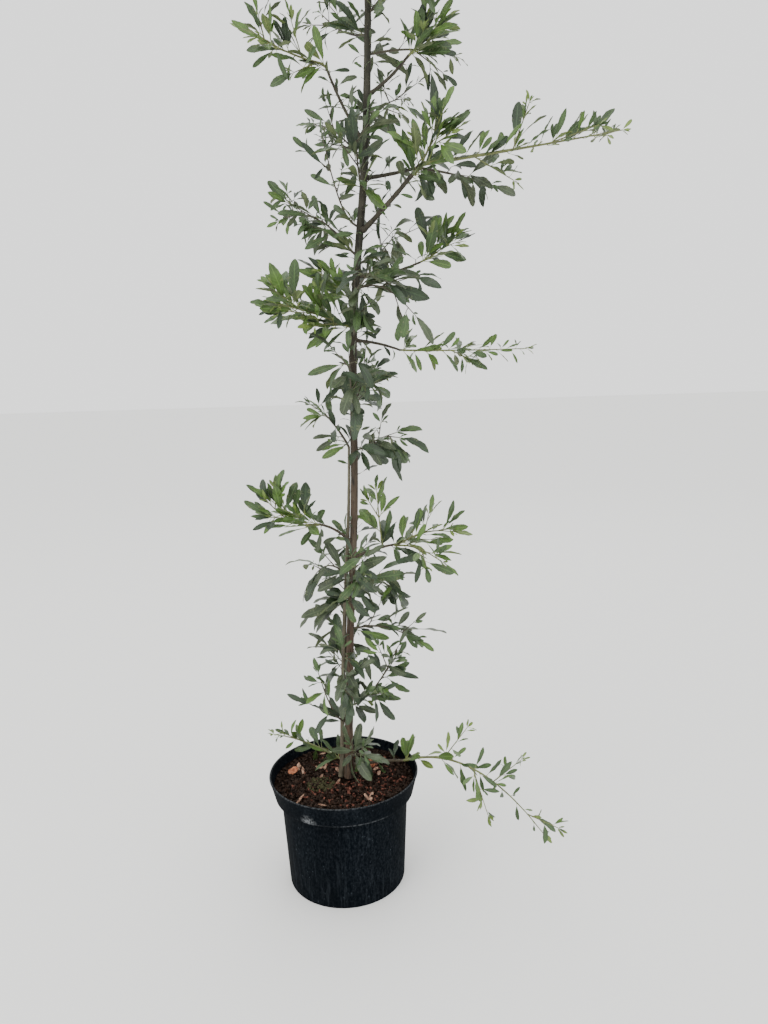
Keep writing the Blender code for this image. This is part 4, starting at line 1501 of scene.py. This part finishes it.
@dataclass
class Compost:
    """The filling of the pot: a lumpy bed with bark chips, pale slivers and a little moss on it."""

    pot: NurseryPot
    crumb: float = 0.0035
    relief: float = 0.0046
    lump: float = 0.016
    sharp: float = 60.0
    bed_rings: int = 30
    margin: float = 0.006
    crumbs: int = 1500
    chips: int = 330
    red_chips: int = 200
    red_middle: Pair = (0.052, -0.022)
    slivers: int = 7
    sliver_places: tuple[Pair, ...] = (
        (-0.063, 0.032),
        (-0.056, 0.020),
        (-0.034, 0.030),
        (-0.030, 0.006),
        (-0.008, -0.012),
        (0.036, -0.052),
        (0.030, -0.050),
        (-0.024, -0.066),
        (0.046, 0.010),
    )
    flakes: tuple[Pair, ...] = ((-0.068, 0.016), (0.037, 0.033))
    moss: int = 120
    moss_place: Pair = (-0.030, -0.016)
    moss_radius: float = 0.018
    foot_place: Pair = (0.004, 0.0)
    foot_radius: float = 0.012
    bedded: float = 0.3
    earth: Earth = Earth()

    def radius(self, height: float) -> float:
        """Finds how wide the filling is.

        Args:
            height: The height to look at.

        Returns:
            The radius there, just clear of the wall.
        """
        pot = self.pot
        neck = pot.height - pot.band_height
        wall = (
            (pot.floor, pot.base_radius),
            (neck - pot.edge, pot.neck_radius),
            (neck + pot.edge, pot.band_radius),
            (pot.height, pot.rim_radius),
        )
        return value_at(wall, height) - pot.wall - GAP

    def bed(self) -> Piece:
        """Returns the filling itself, with a lumpy top that sinks a little towards the wall."""
        pot = self.pot
        neck = pot.height - pot.band_height
        top = SOIL_HEIGHT - self.relief / 2
        heights = (pot.floor + GAP, neck - pot.edge, neck + pot.edge, top)
        made = Bench.turned("compost", [(self.radius(height), height) for height in heights], 90)
        for _ in range(self.bed_rings - 1):
            bpy.ops.mesh.inset(thickness=self.radius(top) / self.bed_rings, depth=0)
        Bench.face_out()
        bpy.ops.object.mode_set(mode="OBJECT")
        group = made.vertex_groups.new(name="top")
        rim = self.radius(top)
        for vertex in made.data.vertices:
            away = hypot(vertex.co.x, vertex.co.y)
            if vertex.co.z > top - GAP and away < rim - GAP:
                group.add([vertex.index], min(1.0, (rim - away) / (2 * self.crumb)), "REPLACE")
        Bench.relief(made, self.lump, self.relief, "top")
        Bench.relief(made, self.crumb, self.relief / 2, "top")
        Bench.smooth(made, self.sharp)
        made.data.materials.append(self.earth.material())
        return made

    @staticmethod
    def shapes() -> tuple[Shape, Shape, Shape]:
        """Models what is strewn on the bed, each a small rough body of unit size.

        Returns:
            A broken chip, a splinter that narrows to its ends and a tuft of moss.
        """
        Bench.clear()
        bpy.ops.mesh.primitive_cube_add(size=1)
        chip = Bench.roughened("chip", cuts=1, offset=0.16, seed=3)
        bpy.ops.mesh.primitive_ico_sphere_add(subdivisions=1, radius=0.5)
        splinter = Bench.roughened("splinter", cuts=1, offset=0.10, seed=8)
        bpy.ops.mesh.primitive_ico_sphere_add(subdivisions=2, radius=0.5)
        tuft = Bench.roughened("tuft", cuts=0, offset=0.12, seed=5)
        return chip, splinter, tuft

    def scatter(self, litter: Litter, shape: Shape, ground: BVHTree, places: Sequence[Pair]) -> None:
        """Strews copies of a shape on the bed.

        Args:
            litter: What they are.
            shape: The corners and faces of the modelled shape.
            ground: The bed's surface.
            places: Where each copy lies, as (x, y).
        """
        rng = Random(litter.name)
        points, faces = shape
        pile = Pile()
        for x, y in places:
            hit, normal, _, _ = ground.ray_cast(Vector((x, y, POT_HEIGHT)), Vector((0, 0, -1)))
            if hit is None:
                continue
            size = [rng.uniform(low, high) for low, high in litter.sizes]
            lean = Matrix.Rotation(litter.prop + rng.uniform(-litter.tilt, litter.tilt), 3, "X")
            lean = lean @ Matrix.Rotation(rng.uniform(-litter.tilt, litter.tilt), 3, "Y")
            turned = Matrix.Rotation(rng.uniform(0, tau), 3, "Z")
            turn = UP.rotation_difference(normal).to_matrix() @ lean @ turned
            placed = (np.array(turn) @ (points * size).T).T + np.array(hit)
            pile.add(placed + np.array(normal) * (size[2] * self.bedded + litter.rise), faces)
        register(pile.piece(litter.name, [litter.finish.material()], radians(30)), "soil")

    @staticmethod
    def dealt(rng: Random, reach: float) -> Pair:
        """Deals out a place evenly within reach of the middle."""
        turn, away = rng.uniform(0, tau), reach * sqrt(rng.random())
        return away * cos(turn), away * sin(turn)

    def places(self, rng: Random, count: int, reach: float, pull: Vector | None = None) -> list[Pair]:
        """Deals out places on the bed.

        Args:
            rng: The source of its odds.
            count: How many places.
            reach: How far from the middle they may lie.
            pull: Where they gather, or none for everywhere.

        Returns:
            The places, clear of the stems' foot.
        """
        found = []
        while len(found) < count:
            place = Vector(self.dealt(rng, reach))
            if pull is not None:
                place = place.lerp(pull, rng.uniform(0, 0.5))
            if (place - Vector(self.foot_place)).length > self.foot_radius:
                found.append((place.x, place.y))
        return found

    def mossy_places(self, rng: Random) -> list[Pair]:
        """Returns the places of the tufts of the patch of moss."""
        tufts = (self.dealt(rng, self.moss_radius) for _ in range(self.moss))
        return [(self.moss_place[0] + x, self.moss_place[1] + y) for x, y in tufts]

    def build(self) -> None:
        """Makes the filling and everything that lies on it."""
        bed = self.bed()
        register(bed, "soil", "soil")
        ground = BVHTree.FromObject(bed, bpy.context.evaluated_depsgraph_get())
        reach = self.radius(SOIL_HEIGHT) - self.margin
        chip, splinter, tuft = self.shapes()
        rng = Random("chips")
        strewn = (
            (CRUMBS, chip, self.places(rng, self.crumbs, reach + self.margin / 2)),
            (CHIPS, chip, self.places(rng, self.chips, reach)),
            (RED_CHIPS, chip, self.places(rng, self.red_chips, reach, Vector(self.red_middle))),
            (SLIVERS, splinter, list(self.sliver_places) + self.places(rng, self.slivers, reach)),
            (FLAKES, splinter, self.flakes),
            (MOSS, tuft, self.mossy_places(rng)),
        )
        for litter, shape, places in strewn:
            self.scatter(litter, shape, ground, places)


@dataclass
class Stems:
    """The trunk, the second stem and the boughs, each with its bark."""

    limbs: dict[str, Limb]
    ring_spacing: float = 0.0022
    bough_spacing: float = 0.0016
    sides: tuple[int, int, int] = (22, 16, 14)
    sunk: float = 0.0015
    easing: float = 0.006
    node_spacing: float = 0.023
    node_swelling: float = 0.10
    node_length: float = 0.10
    collar: float = 0.45
    collar_length: float = 0.004
    grain: float = 0.0030
    grain_depth: float = 0.0006
    sharp: float = 60.0
    trunk_bark: BarkFinish = BarkFinish(
        "trunk bark", (0.08, 0.05, 0.032), (0.02, 0.019, 0.011), (0.006, 0.005, 0.003), (0.15, 0.136, 0.098)
    )
    second_bark: BarkFinish = BarkFinish(
        "second stem bark",
        (0.115, 0.098, 0.066),
        (0.098, 0.090, 0.058),
        (0.040, 0.033, 0.022),
        (0.190, 0.182, 0.138),
    )
    bough_bark: BarkFinish = BarkFinish(
        "bough bark", (0.066, 0.05, 0.031), (0.04, 0.035, 0.022), (0.015, 0.012, 0.008), (0.118, 0.106, 0.072)
    )

    def swelling(self, distance: float) -> float:
        """Returns how much thicker a limb is near its nodes, as a share."""
        offset = distance / self.node_spacing % 1.0 - 0.5
        return self.node_swelling * exp(-((offset / self.node_length) ** 2))

    def sleeve(self, name: str, limb: Limb, sides: int, spacing: float, sunk: float) -> Piece:
        """Makes a limb's bark from a cylinder that is cut into rings and led along the axis.

        Args:
            name: The piece's name.
            limb: The limb.
            sides: How many sides it has.
            spacing: The distance between rings.
            sunk: How far the root runs on into its parent.

        Returns:
            The piece.
        """
        Bench.clear()
        bpy.ops.mesh.primitive_cylinder_add(vertices=sides, radius=1, depth=1, location=(0, 0, 0.5))
        made = Bench.named(name)
        bpy.ops.object.transform_apply(location=True)
        bpy.ops.object.mode_set(mode="EDIT")
        bpy.ops.mesh.select_mode(type="EDGE")
        bpy.ops.mesh.select_all(action="DESELECT")
        bpy.ops.object.mode_set(mode="OBJECT")
        for edge in made.data.edges:
            low, high = (made.data.vertices[i].co.z for i in edge.vertices)
            edge.select = abs(high - low) > 0.5
        bpy.ops.object.mode_set(mode="EDIT")
        bpy.ops.mesh.subdivide(number_cuts=max(8, int(limb.length / spacing)))
        bpy.ops.object.mode_set(mode="OBJECT")
        for vertex in made.data.vertices:
            distance = vertex.co.z * limb.length
            point, along, radius = limb.at(distance)
            point = self.eased(limb, distance, point)
            if vertex.co.z < 1e-6:
                point = point - limb.root_face * sunk
            u, v = across(along if sunk else UP)
            flare = 1 + self.swelling(distance)
            if sunk:
                flare += self.collar * exp(-distance / self.collar_length)
            vertex.co = point + (u * vertex.co.x + v * vertex.co.y) * (radius * flare)
        bpy.ops.object.mode_set(mode="EDIT")
        Bench.face_out()
        bpy.ops.object.mode_set(mode="OBJECT")
        return made

    @classmethod
    def eased(cls, limb: Limb, distance: float, point: Vector) -> Vector:
        """Returns a point of a limb's axis with the corners near it rounded off."""
        reach = min(cls.easing, distance, limb.length - distance)
        return (limb.at(distance - reach)[0] + limb.at(distance + reach)[0] + 2 * point) / 4

    def build(self) -> None:
        """Makes the bark of every limb."""
        stems = {
            "trunk": (self.sides[0], self.ring_spacing, 0.0, self.trunk_bark),
            "second_stem": (self.sides[1], self.ring_spacing, 0.0, self.second_bark),
        }
        bough = (self.sides[2], self.bough_spacing, self.sunk, self.bough_bark)
        for name, limb in self.limbs.items():
            sides, spacing, sunk, finish = stems.get(name, bough)
            made = self.sleeve(f"{name}_bark", limb, sides, spacing, sunk)
            Bench.relief(made, self.grain, self.grain_depth)
            Bench.smooth(made, self.sharp)
            made.data.materials.append(finish.material())
            register(made, "bark", name)


@dataclass
class Leaf:
    """A toothed blade on a short stalk.

    Attributes:
        root: Where its stalk leaves the spur.
        along: The direction that it sets out in.
        up: The direction that its upper side faces at the root.
        length: Its length with the stalk.
        width: Its width as a share of the length.
        curl: How far it bends back from root to tip, in radians.
        fold: How steeply its halves rise from the midrib, in radians.
        twist: How far the tip is turned against the root, in radians.
        wave: How strongly its edges wave, as a share of half the width.
        phase: Where that wave starts.
        point: How pointed its tip is.
    """

    root: Vector
    along: Vector
    up: Vector
    length: float
    width: float
    curl: float
    fold: float
    twist: float
    wave: float
    phase: float
    point: float

    STALK = 0.12
    TAPER = 1.05
    STATIONS = 13
    TOOTH = 0.07
    THICKNESS = 0.00040
    WAVES = 2.3
    LEAD_IN = 0.35
    RUN_OUT = 0.15
    TESTED_EDGES = (0.35, 0.7)
    TESTED_MIDRIB = (1.0, 0.45)
    RIB_PLACES = (0.0, STALK, 0.30, 0.55, 0.82)
    RIB_RADII = (0.00050, 0.00042, 0.00036, 0.00028, 0.00016)
    RIB_LEAF_LENGTH = 0.042

    def half_width(self, share: float) -> float:
        """Returns half the blade's width at a share of its length, as a share of the widest."""
        top = self.TAPER / (self.TAPER + self.point)
        return share**self.TAPER * (1 - share) ** self.point / (top**self.TAPER * (1 - top) ** self.point)

    def frame(self, share: float) -> tuple[Vector, Vector, Vector]:
        """Finds the blade's frame.

        Args:
            share: A share of the whole length.

        Returns:
            The centre there, the direction across it and the direction up from it.
        """
        bend = self.curl * share
        if abs(self.curl) < 0.01:
            ahead, back = share, 0.0
        else:
            ahead, back = sin(bend) / self.curl, (1 - cos(bend)) / self.curl
        centre = self.root + (self.along * ahead - self.up * back) * self.length
        up = self.up * cos(bend) + self.along * sin(bend)
        side = self.along.cross(self.up)
        turn = self.twist * share
        turned_side = side * cos(turn) + up * sin(turn)
        return centre, turned_side, up * cos(turn) - side * sin(turn)

    def edge(self, blade_share: float, side_sign: int, tooth: float) -> Vector:
        """Finds a point on the blade's edge.

        Args:
            blade_share: A share of the blade's length.
            side_sign: Which edge, 1 or -1.
            tooth: How far the edge is cut in there, as a share.

        Returns:
            The point.
        """
        centre, side, up = self.frame(self.STALK + (1 - self.STALK) * blade_share)
        half = self.half_width(blade_share) * self.width * self.length / 2 * (1 - tooth)
        wave = self.wave * sin(self.WAVES * tau * blade_share + self.phase + side_sign)
        rise = sin(self.fold) + wave
        return centre + (side * (side_sign * cos(self.fold)) + up * rise) * half

    def outline(self) -> list[Vector]:
        """Returns points round the edge that stand for the leaf when its place is tested."""
        points = [self.edge(share, side, 0.0) for share in self.TESTED_EDGES for side in (1, -1)]
        return points + [self.frame(share)[0] for share in self.TESTED_MIDRIB]

    def blade(self) -> tuple[np.ndarray, list[tuple[int, ...]], list[int], np.ndarray]:
        """Builds the blade.

        Returns:
            Its corners, its faces, 0 for each upper face and 1 for each lower one, and its corners' marks.
        """
        points = [self.frame(self.STALK)[0]]
        marks = [(0.0, 0.0, 0.0)]
        for i in range(1, self.STATIONS + 1):
            share = (i - self.LEAD_IN) / (self.STATIONS + self.RUN_OUT)
            tooth = self.TOOTH if i % 2 else 0.0
            centre, _, up = self.frame(self.STALK + (1 - self.STALK) * share)
            points += [
                self.edge(share, 1, tooth),
                centre + up * (self.THICKNESS / 2),
                self.edge(share, -1, tooth),
                centre - up * (self.THICKNESS / 2),
            ]
            marks += [(share, 1.0, 0.0), (share, 0.0, 0.0), (share, -1.0, 0.0), (share, 0.0, 0.0)]
        points.append(self.frame(1.0)[0])
        marks.append((1.0, 0.0, 0.0))
        faces = [(0, 1, 2), (0, 2, 3), (0, 3, 4), (0, 4, 1)]
        for i in range(self.STATIONS - 1):
            low = 1 + 4 * i
            for k in range(4):
                following = (k + 1) % 4
                faces.append((low + k, low + 4 + k, low + 4 + following, low + following))
        low, tip = 1 + 4 * (self.STATIONS - 1), len(points) - 1
        faces += [(low + k, tip, low + (k + 1) % 4) for k in range(4)]
        slots = [0, 0, 1, 1] * (self.STATIONS + 1)
        return np.array(points), faces, slots, np.array(marks)

    def rib(self) -> Shape:
        """Returns the corners and faces of the stalk and the midrib."""
        size = self.length / self.RIB_LEAF_LENGTH
        points = [self.frame(share)[0] for share in self.RIB_PLACES]
        return tube(points, [radius * size for radius in self.RIB_RADII], 3)


@dataclass
class Spray:
    """The leaves and the spur of one node, which share a tint."""

    tint: Tint
    age: Age
    leaves: list[Leaf]
    spur: tuple[list[Vector], list[float]] | None = None


@dataclass
class Grower:
    """Grows the leaves of one mass, or the few on one limb. A pair is a least and a greatest value.

    Attributes:
        shoot: The mass, or a stand-in for the limb.
        space: The room that is taken.
        rng: The source of its odds.
    """

    shoot: Shoot
    space: Space
    rng: Random

    # How often a place is looked for, and how far a node turns for its next attempt
    attempts: int = 5
    attempt_turn: float = 2.1

    # Where nodes lie along a line, and how far each may stray as a turn or as a share of the spacing
    first_node: float = 0.003
    twig_first_node: float = 0.006
    end_margin: float = 0.004
    turn_jitter: float = 0.3
    spacing_jitter: Pair = (0.75, 1.25)
    limb_jitter: Pair = (0.6, 1.4)

    # Leaves round a stem's foot, leaves at a node, and the leaflets of the rosette at a line's end
    foot_leaves: tuple[int, int] = (4, 6)
    foot_lean: Pair = (0.7, 1.5)
    lone_lean: Pair = (0.0, 0.4)
    companion_lean: Pair = (0.15, 0.95)
    companion_size: Pair = (0.55, 0.95)
    leaflets: int = 4
    leaflet_lean: Pair = (0.3, 0.9)
    leaflet_length: Pair = (0.009, 0.017)

    # The shape of a leaf, as far as its habit doesn't set it
    width: Pair = (0.21, 0.32)
    fold: Pair = (0.10, 0.50)
    twist: float = 0.5
    roll: float = 1.05
    wave: float = 0.18
    wave_share: Pair = (0.3, 1.0)
    point: Pair = (0.52, 0.90)
    least_tilt: float = 0.2
    tip_shrink: float = 0.9

    # How far along a green line young sprays start, and their odds
    young_from: float = 0.85
    young_odds: float = 0.16

    # A spur's middle, and its radii at its root, there and at its end
    spur_middle: float = 0.55
    spur_radii: Triple = (0.0008, 0.0006, 0.0005)

    def leaf(self, root: Vector, heading: Vector, length: float) -> Leaf:
        """Makes a leaf.

        Args:
            root: Where it springs from.
            heading: The direction that it sets out in.
            length: Its length.

        Returns:
            The leaf.
        """
        rng = self.rng
        up = LIGHT_SIDE - heading * heading.dot(LIGHT_SIDE)
        if up.length < self.least_tilt:
            up = across(heading)[1]
        up = Matrix.Rotation(rng.uniform(-self.roll, self.roll), 3, heading) @ up.normalized()
        return Leaf(
            root,
            heading,
            up,
            length,
            rng.uniform(*self.width),
            rng.uniform(*self.shoot.habit.curl),
            rng.uniform(*self.fold),
            rng.uniform(-self.twist, self.twist),
            rng.uniform(*self.wave_share) * self.wave,
            rng.uniform(0, tau),
            rng.uniform(*self.point),
        )

    def fits(self, leaf: Leaf) -> bool:
        """Returns whether a leaf finds room where it stands."""
        return self.space.holds(self.shoot.name, leaf.outline())

    def deal(self, share: float) -> Tint:
        """Deals a tint out to a node.

        Args:
            share: How far along its line the node lies.

        Returns:
            The tint.
        """
        habit = self.shoot.habit
        tint = self.rng.choices(list(habit.tints), list(habit.tints.values()))[0]
        if share > self.young_from and habit.age is Age.GREEN and self.rng.random() < self.young_odds:
            return Tint.YOUNG
        return tint

    def foot(self, stem: Limb) -> Spray:
        """Grows the leaves round the foot of a stem, which hide the trunk there.

        Args:
            stem: The stem.

        Returns:
            The spray, which may be empty.
        """
        habit = self.shoot.habit
        root, along, radius = stem.at(self.first_node)
        made = Spray(self.deal(0.0), habit.age, [])
        around = self.rng.uniform(0, tau)
        for _ in range(self.rng.randint(*self.foot_leaves)):
            for _ in range(2 * self.attempts):
                around += GOLDEN_ANGLE
                side = turned_away(along, self.rng.uniform(*self.foot_lean), around)
                heading = (side + Vector((0, 0, habit.lift))).normalized()
                length = self.rng.uniform(*habit.length) * self.shoot.leaf_size
                leaf = self.leaf(root + side * radius, heading, length)
                if self.fits(leaf):
                    made.leaves.append(leaf)
                    break
        return made

    def spray(self, line: Limb, distance: float, turn: float) -> Spray | None:
        """Grows the spray of one node.

        Args:
            line: The stem or twig that bears it.
            distance: How far along the line the node lies.
            turn: Which way it faces.

        Returns:
            The spray, or none where no leaf finds room.
        """
        habit = self.shoot.habit
        rng = self.rng
        root, along, radius = line.at(distance)
        share = distance / line.length
        size = 1 - (1 - habit.tip_size) * share**2
        spur_heading = turned_away(along, rng.uniform(*habit.spread), turn)
        start = root + spur_heading * (radius + rng.uniform(*habit.spur))
        count = rng.choices((1, 2, 3, 4), habit.cluster)[0]
        made = Spray(self.deal(share), habit.age, [])
        around = rng.uniform(0, tau)
        leans = self.companion_lean if count > 1 else self.lone_lean
        for number in range(count):
            length = rng.uniform(*habit.length) * size * self.shoot.leaf_size
            if number:
                length *= rng.uniform(*self.companion_size)
            for _ in range(self.attempts):
                around += GOLDEN_ANGLE
                heading = turned_away(spur_heading, rng.uniform(*leans), around) + Vector((0, 0, habit.lift))
                leaf = self.leaf(start, heading.normalized(), length)
                if self.fits(leaf):
                    made.leaves.append(leaf)
                    break
        if not made.leaves:
            return None
        radii = [radius * size for radius in self.spur_radii]
        made.spur = ([root, root.lerp(start, self.spur_middle), start], radii)
        return made

    def tip(self, line: Limb) -> list[Spray]:
        """Grows the rosette of leaflets at the end of a line, and the leaf that carries on from it.

        Args:
            line: The stem or twig.

        Returns:
            The sprays.
        """
        habit = self.shoot.habit
        end, along, _ = line.at(line.length)
        leaf = self.leaf(end, along.copy(), self.rng.uniform(*habit.length) * habit.tip_size)
        while leaf.length > self.leaflet_length[0] and not self.space.inside(leaf.outline()):
            leaf.length *= self.tip_shrink
        last = Spray(self.deal(1.0), habit.age, [leaf])
        young = Spray(Tint.YOUNG if habit.age is Age.GREEN else Tint.MID, habit.age, [])
        around = self.rng.uniform(0, tau)
        for _ in range(self.leaflets):
            around += GOLDEN_ANGLE
            heading = turned_away(along, self.rng.uniform(*self.leaflet_lean), around)
            leaflet = self.leaf(end, heading, self.rng.uniform(*self.leaflet_length))
            if self.fits(leaflet):
                young.leaves.append(leaflet)
        return [last, young]

    def mass(self, stem: Limb, twigs: list[Limb]) -> list[Spray]:
        """Grows the leaves of a mass.

        Args:
            stem: Its stem.
            twigs: Its side twigs.

        Returns:
            Its sprays.
        """
        spacing = self.shoot.habit.spacing / self.shoot.fullness
        sprays = [self.foot(stem)]
        for line in (stem, *twigs):
            turn = self.rng.uniform(0, tau)
            distance = self.first_node if line is stem else self.twig_first_node
            while distance < line.length - self.end_margin:
                turn += GOLDEN_ANGLE + self.rng.uniform(-self.turn_jitter, self.turn_jitter)
                for attempt in range(self.attempts):
                    found = self.spray(line, distance, turn + attempt * self.attempt_turn)
                    if found:
                        sprays.append(found)
                        break
                distance += spacing * self.rng.uniform(*self.spacing_jitter)
            sprays += self.tip(line)
        return [spray for spray in sprays if spray.leaves]

    def on_limb(self, limb: Limb, spacing: float) -> list[Spray]:
        """Grows the few small leaves that stand on a limb itself.

        Args:
            limb: The limb.
            spacing: The middle distance between two of its nodes.

        Returns:
            Its sprays.
        """
        sprays = []
        distance = self.shoot.at * limb.length
        turn = self.rng.uniform(0, tau)
        while distance < limb.length - self.first_node:
            turn += GOLDEN_ANGLE
            sprays.append(self.spray(limb, distance, turn))
            distance += spacing * self.rng.uniform(*self.limb_jitter)
        return [spray for spray in sprays if spray]


@dataclass
class Crown:
    """The masses of foliage: stems, side twigs, spurs and leaves.

    The leaves that stand on a limb itself start at a share of its length and have a middle distance. One mass
    has an old russet leaf.
    """

    limbs: dict[str, Limb]
    shoots: list[Shoot] = field(default_factory=all_shoots)
    twig_spacing: float = 0.006
    twig_sunk: float = 0.0012
    twig_sides: int = 6
    spur_sides: int = 5
    knottiness: float = 0.16
    russet_mass: str = "left_upper_spur"
    limb_leaves: dict[str, Pair] = field(
        default_factory=lambda: {
            "trunk": (0.34, 0.0085),
            "second_stem": (0.60, 0.060),
            "bough_left_high": (0.14, 0.006),
            "bough_fork": (0.14, 0.008),
        }
    )
    bough_leaves: Pair = (0.14, 0.010)

    def __post_init__(self) -> None:
        """Grows the lines that bear the leaves, with the limbs' and the pot's room kept free."""
        self.space = Space()
        for limb in self.limbs.values():
            self.space.add_limb(limb)
        self.stems: dict[str, Limb] = {}
        for shoot in self.shoots:
            held_back = TIP_LEAF_REACH * shoot.habit.tip_size
            self.stems[shoot.name] = shoot_limb(shoot, self.limbs, STEM_STEP, STEM_TIP_RADIUS, held_back)
            self.space.add_line(shoot.name, self.stems[shoot.name])
        self.twigs: dict[str, list[Limb]] = {}
        for shoot in self.shoots:
            self.space.settle()
            self.twigs[shoot.name] = make_twigs(shoot, self.stems[shoot.name], self.space)
        self.space.settle()

    def on_limbs(self) -> list[Spray]:
        """Returns the sprays that stand on the limbs themselves."""
        sprays = []
        for name, limb in self.limbs.items():
            first, spacing = self.limb_leaves.get(name, self.bough_leaves)
            bearer = Shoot(name, name, first, 0.0, limb.length, 0.0, 0.0, 0.0, habit=ON_LIMBS)
            sprays += Grower(bearer, self.space, Random("leaves on " + name)).on_limb(limb, spacing)
        return sprays

    def mass(self, shoot: Shoot) -> list[Spray]:
        """Grows the leaves of a mass.

        Args:
            shoot: The mass.

        Returns:
            Its sprays.
        """
        grower = Grower(shoot, self.space, Random("sprays " + shoot.name))
        sprays = grower.mass(self.stems[shoot.name], self.twigs[shoot.name])
        if shoot.name == self.russet_mass:
            lowest = min(sprays, key=lambda spray: (len(spray.leaves) != 1, spray.leaves[0].root.z))
            lowest.tint = Tint.RUSSET
        return sprays

    def wood(self, line: Limb, rng: Random, sunk: float) -> Shape:
        """Skins a stem or twig, a little knotty and rounded at its corners.

        Args:
            line: The stem or twig.
            rng: The source of its odds.
            sunk: How far its root runs on into its parent.

        Returns:
            Its corners and faces.
        """
        count = max(3, ceil(line.length / self.twig_spacing))
        points = []
        radii = []
        for i in range(count + 1):
            distance = line.length * i / count
            point, _, radius = line.at(distance)
            points.append(Stems.eased(line, distance, point))
            radii.append(radius * (1 + rng.uniform(0, self.knottiness)))
        points[0] = points[0] - line.root_face * sunk
        return tube(points, radii, self.twig_sides)

    def build(self) -> None:
        """Makes the twigs, stalks and leaves of the whole crown."""
        wood = {age: Pile() for age in Age}
        stalks = {age: Pile() for age in Age}
        blades = {tint: Pile() for tint in Tint}
        grown = self.on_limbs()
        for shoot in self.shoots:
            rng = Random("wood " + shoot.name)
            bearer = wood[shoot.habit.age]
            bearer.add(*self.wood(self.stems[shoot.name], rng, self.twig_sunk))
            for twig in self.twigs[shoot.name]:
                bearer.add(*self.wood(twig, rng, 0.0))
            grown += self.mass(shoot)
        for spray in grown:
            if spray.spur:
                wood[spray.age].add(*tube(*spray.spur, self.spur_sides))
            for leaf in spray.leaves:
                blades[spray.tint].add(*leaf.blade())
                stalks[spray.age].add(*leaf.rib())
        nodes = ["foliage_" + shoot.name for shoot in self.shoots]
        kinds = (
            ("twigs", wood, TWIG_FINISHES, 60, "bark"),
            ("stalks", stalks, STALK_FINISHES, 80, "foliage"),
        )
        for age in Age:
            for word, piles, finishes, sharp, slot in kinds:
                skin = [finishes[age].material()]
                register(piles[age].piece(f"{age.value}_{word}", skin, radians(sharp)), slot, *nodes)
        slots = {Tint.GREY: "grey_foliage", Tint.BRIGHT: "fresh_foliage", Tint.YOUNG: "fresh_foliage"}
        for finish in LEAF_FINISHES:
            pile = blades[finish.tint]
            piece = pile.piece(f"{finish.tint.value}_leaves", finish.materials(), radians(70))
            register(piece, slots.get(finish.tint, "foliage"), *nodes)
        leaves = sum(len(spray.leaves) for spray in grown)
        LOG.info("%d leaves on %d lines", leaves, sum(1 + len(twigs) for twigs in self.twigs.values()))


@dataclass(frozen=True)
class Lamp:
    """A square soft light in its place, aimed at a point, with its side's length and its watts."""

    name: str
    place: Triple
    aim: Triple
    size: float
    power: float
    colour: Colour

    def hang(self) -> None:
        """Puts the light in its place."""
        data = bpy.data.lights.new(self.name, "AREA")
        data.size = self.size
        data.energy = self.power
        data.color = self.colour
        made = bpy.data.objects.new(self.name, data)
        made.location = self.place
        made.rotation_euler = (Vector(self.aim) - Vector(self.place)).to_track_quat("-Z", "Y").to_euler()
        bpy.context.scene.collection.objects.link(made)


@dataclass
class Studio:
    """A pale floor, soft light and the camera."""

    floor_size: float = 40.0
    floor_colour: Colour = (0.88, 0.88, 0.865)
    sky: Colour = (0.90, 0.905, 0.90)
    sky_strength: float = 1.85
    camera_place: Triple = (0.063, -0.938, 0.652)
    pitch: float = 9.9
    roll: float = 1.72
    focal_pixels: float = 769.0
    frame_height: int = 1024
    sensor: float = 36.0
    lamps: tuple[Lamp, ...] = (
        Lamp("key", (-1.6, -1.8, 2.4), (0, 0, 0.6), 1.8, 32, (1.0, 0.985, 0.96)),
        Lamp("fill", (1.9, -1.5, 1.4), (0, 0, 0.5), 1.8, 8, (0.94, 0.97, 1.0)),
        Lamp("back", (0.4, 2.2, 2.2), (0, 0, 0.7), 1.6, 8, (1.0, 1.0, 1.0)),
    )

    def camera(self) -> None:
        """Sets the camera up."""
        data = bpy.data.cameras.new("camera")
        data.sensor_width = self.sensor
        data.lens = self.focal_pixels * self.sensor / self.frame_height
        made = bpy.data.objects.new("camera", data)
        tilt = Matrix.Rotation(radians(90 - self.pitch), 4, "X")
        turn = Matrix.Rotation(radians(-self.roll), 4, "Z")
        made.matrix_world = Matrix.Translation(self.camera_place) @ tilt @ turn
        bpy.context.scene.collection.objects.link(made)
        bpy.context.scene.camera = made

    def build(self) -> None:
        """Makes the floor, the sky, the lights and the camera."""
        Bench.clear()
        bpy.ops.mesh.primitive_plane_add(size=self.floor_size)
        floor = Bench.named("floor")
        floor.data.materials.append(Paint("floor", 0.9, 0.1, self.floor_colour).material)
        world = bpy.data.worlds.new("sky")
        world.use_nodes = True
        background = world.node_tree.nodes["Background"]
        background.inputs["Color"].default_value = (*self.sky, 1.0)
        background.inputs["Strength"].default_value = self.sky_strength
        bpy.context.scene.world = world
        for lamp in self.lamps:
            lamp.hang()
        self.camera()


def main() -> None:
    """Builds the plant, its pot and the studio."""
    logging.basicConfig(level=logging.INFO, format="%(name)s: %(message)s")
    pot = NurseryPot()
    pot.build()
    Compost(pot).build()
    limbs = {"trunk": trunk_limb()}
    limbs["second_stem"] = second_limb(limbs["trunk"])
    for bough in BOUGHS:
        limbs[bough.name] = shoot_limb(bough, limbs, BOUGH_STEP, bough.radius * BOUGH_TIP_SHARE)
    Stems(limbs).build()
    Crown(limbs).build()
    Studio().build()


if __name__ == "__main__":
    main()
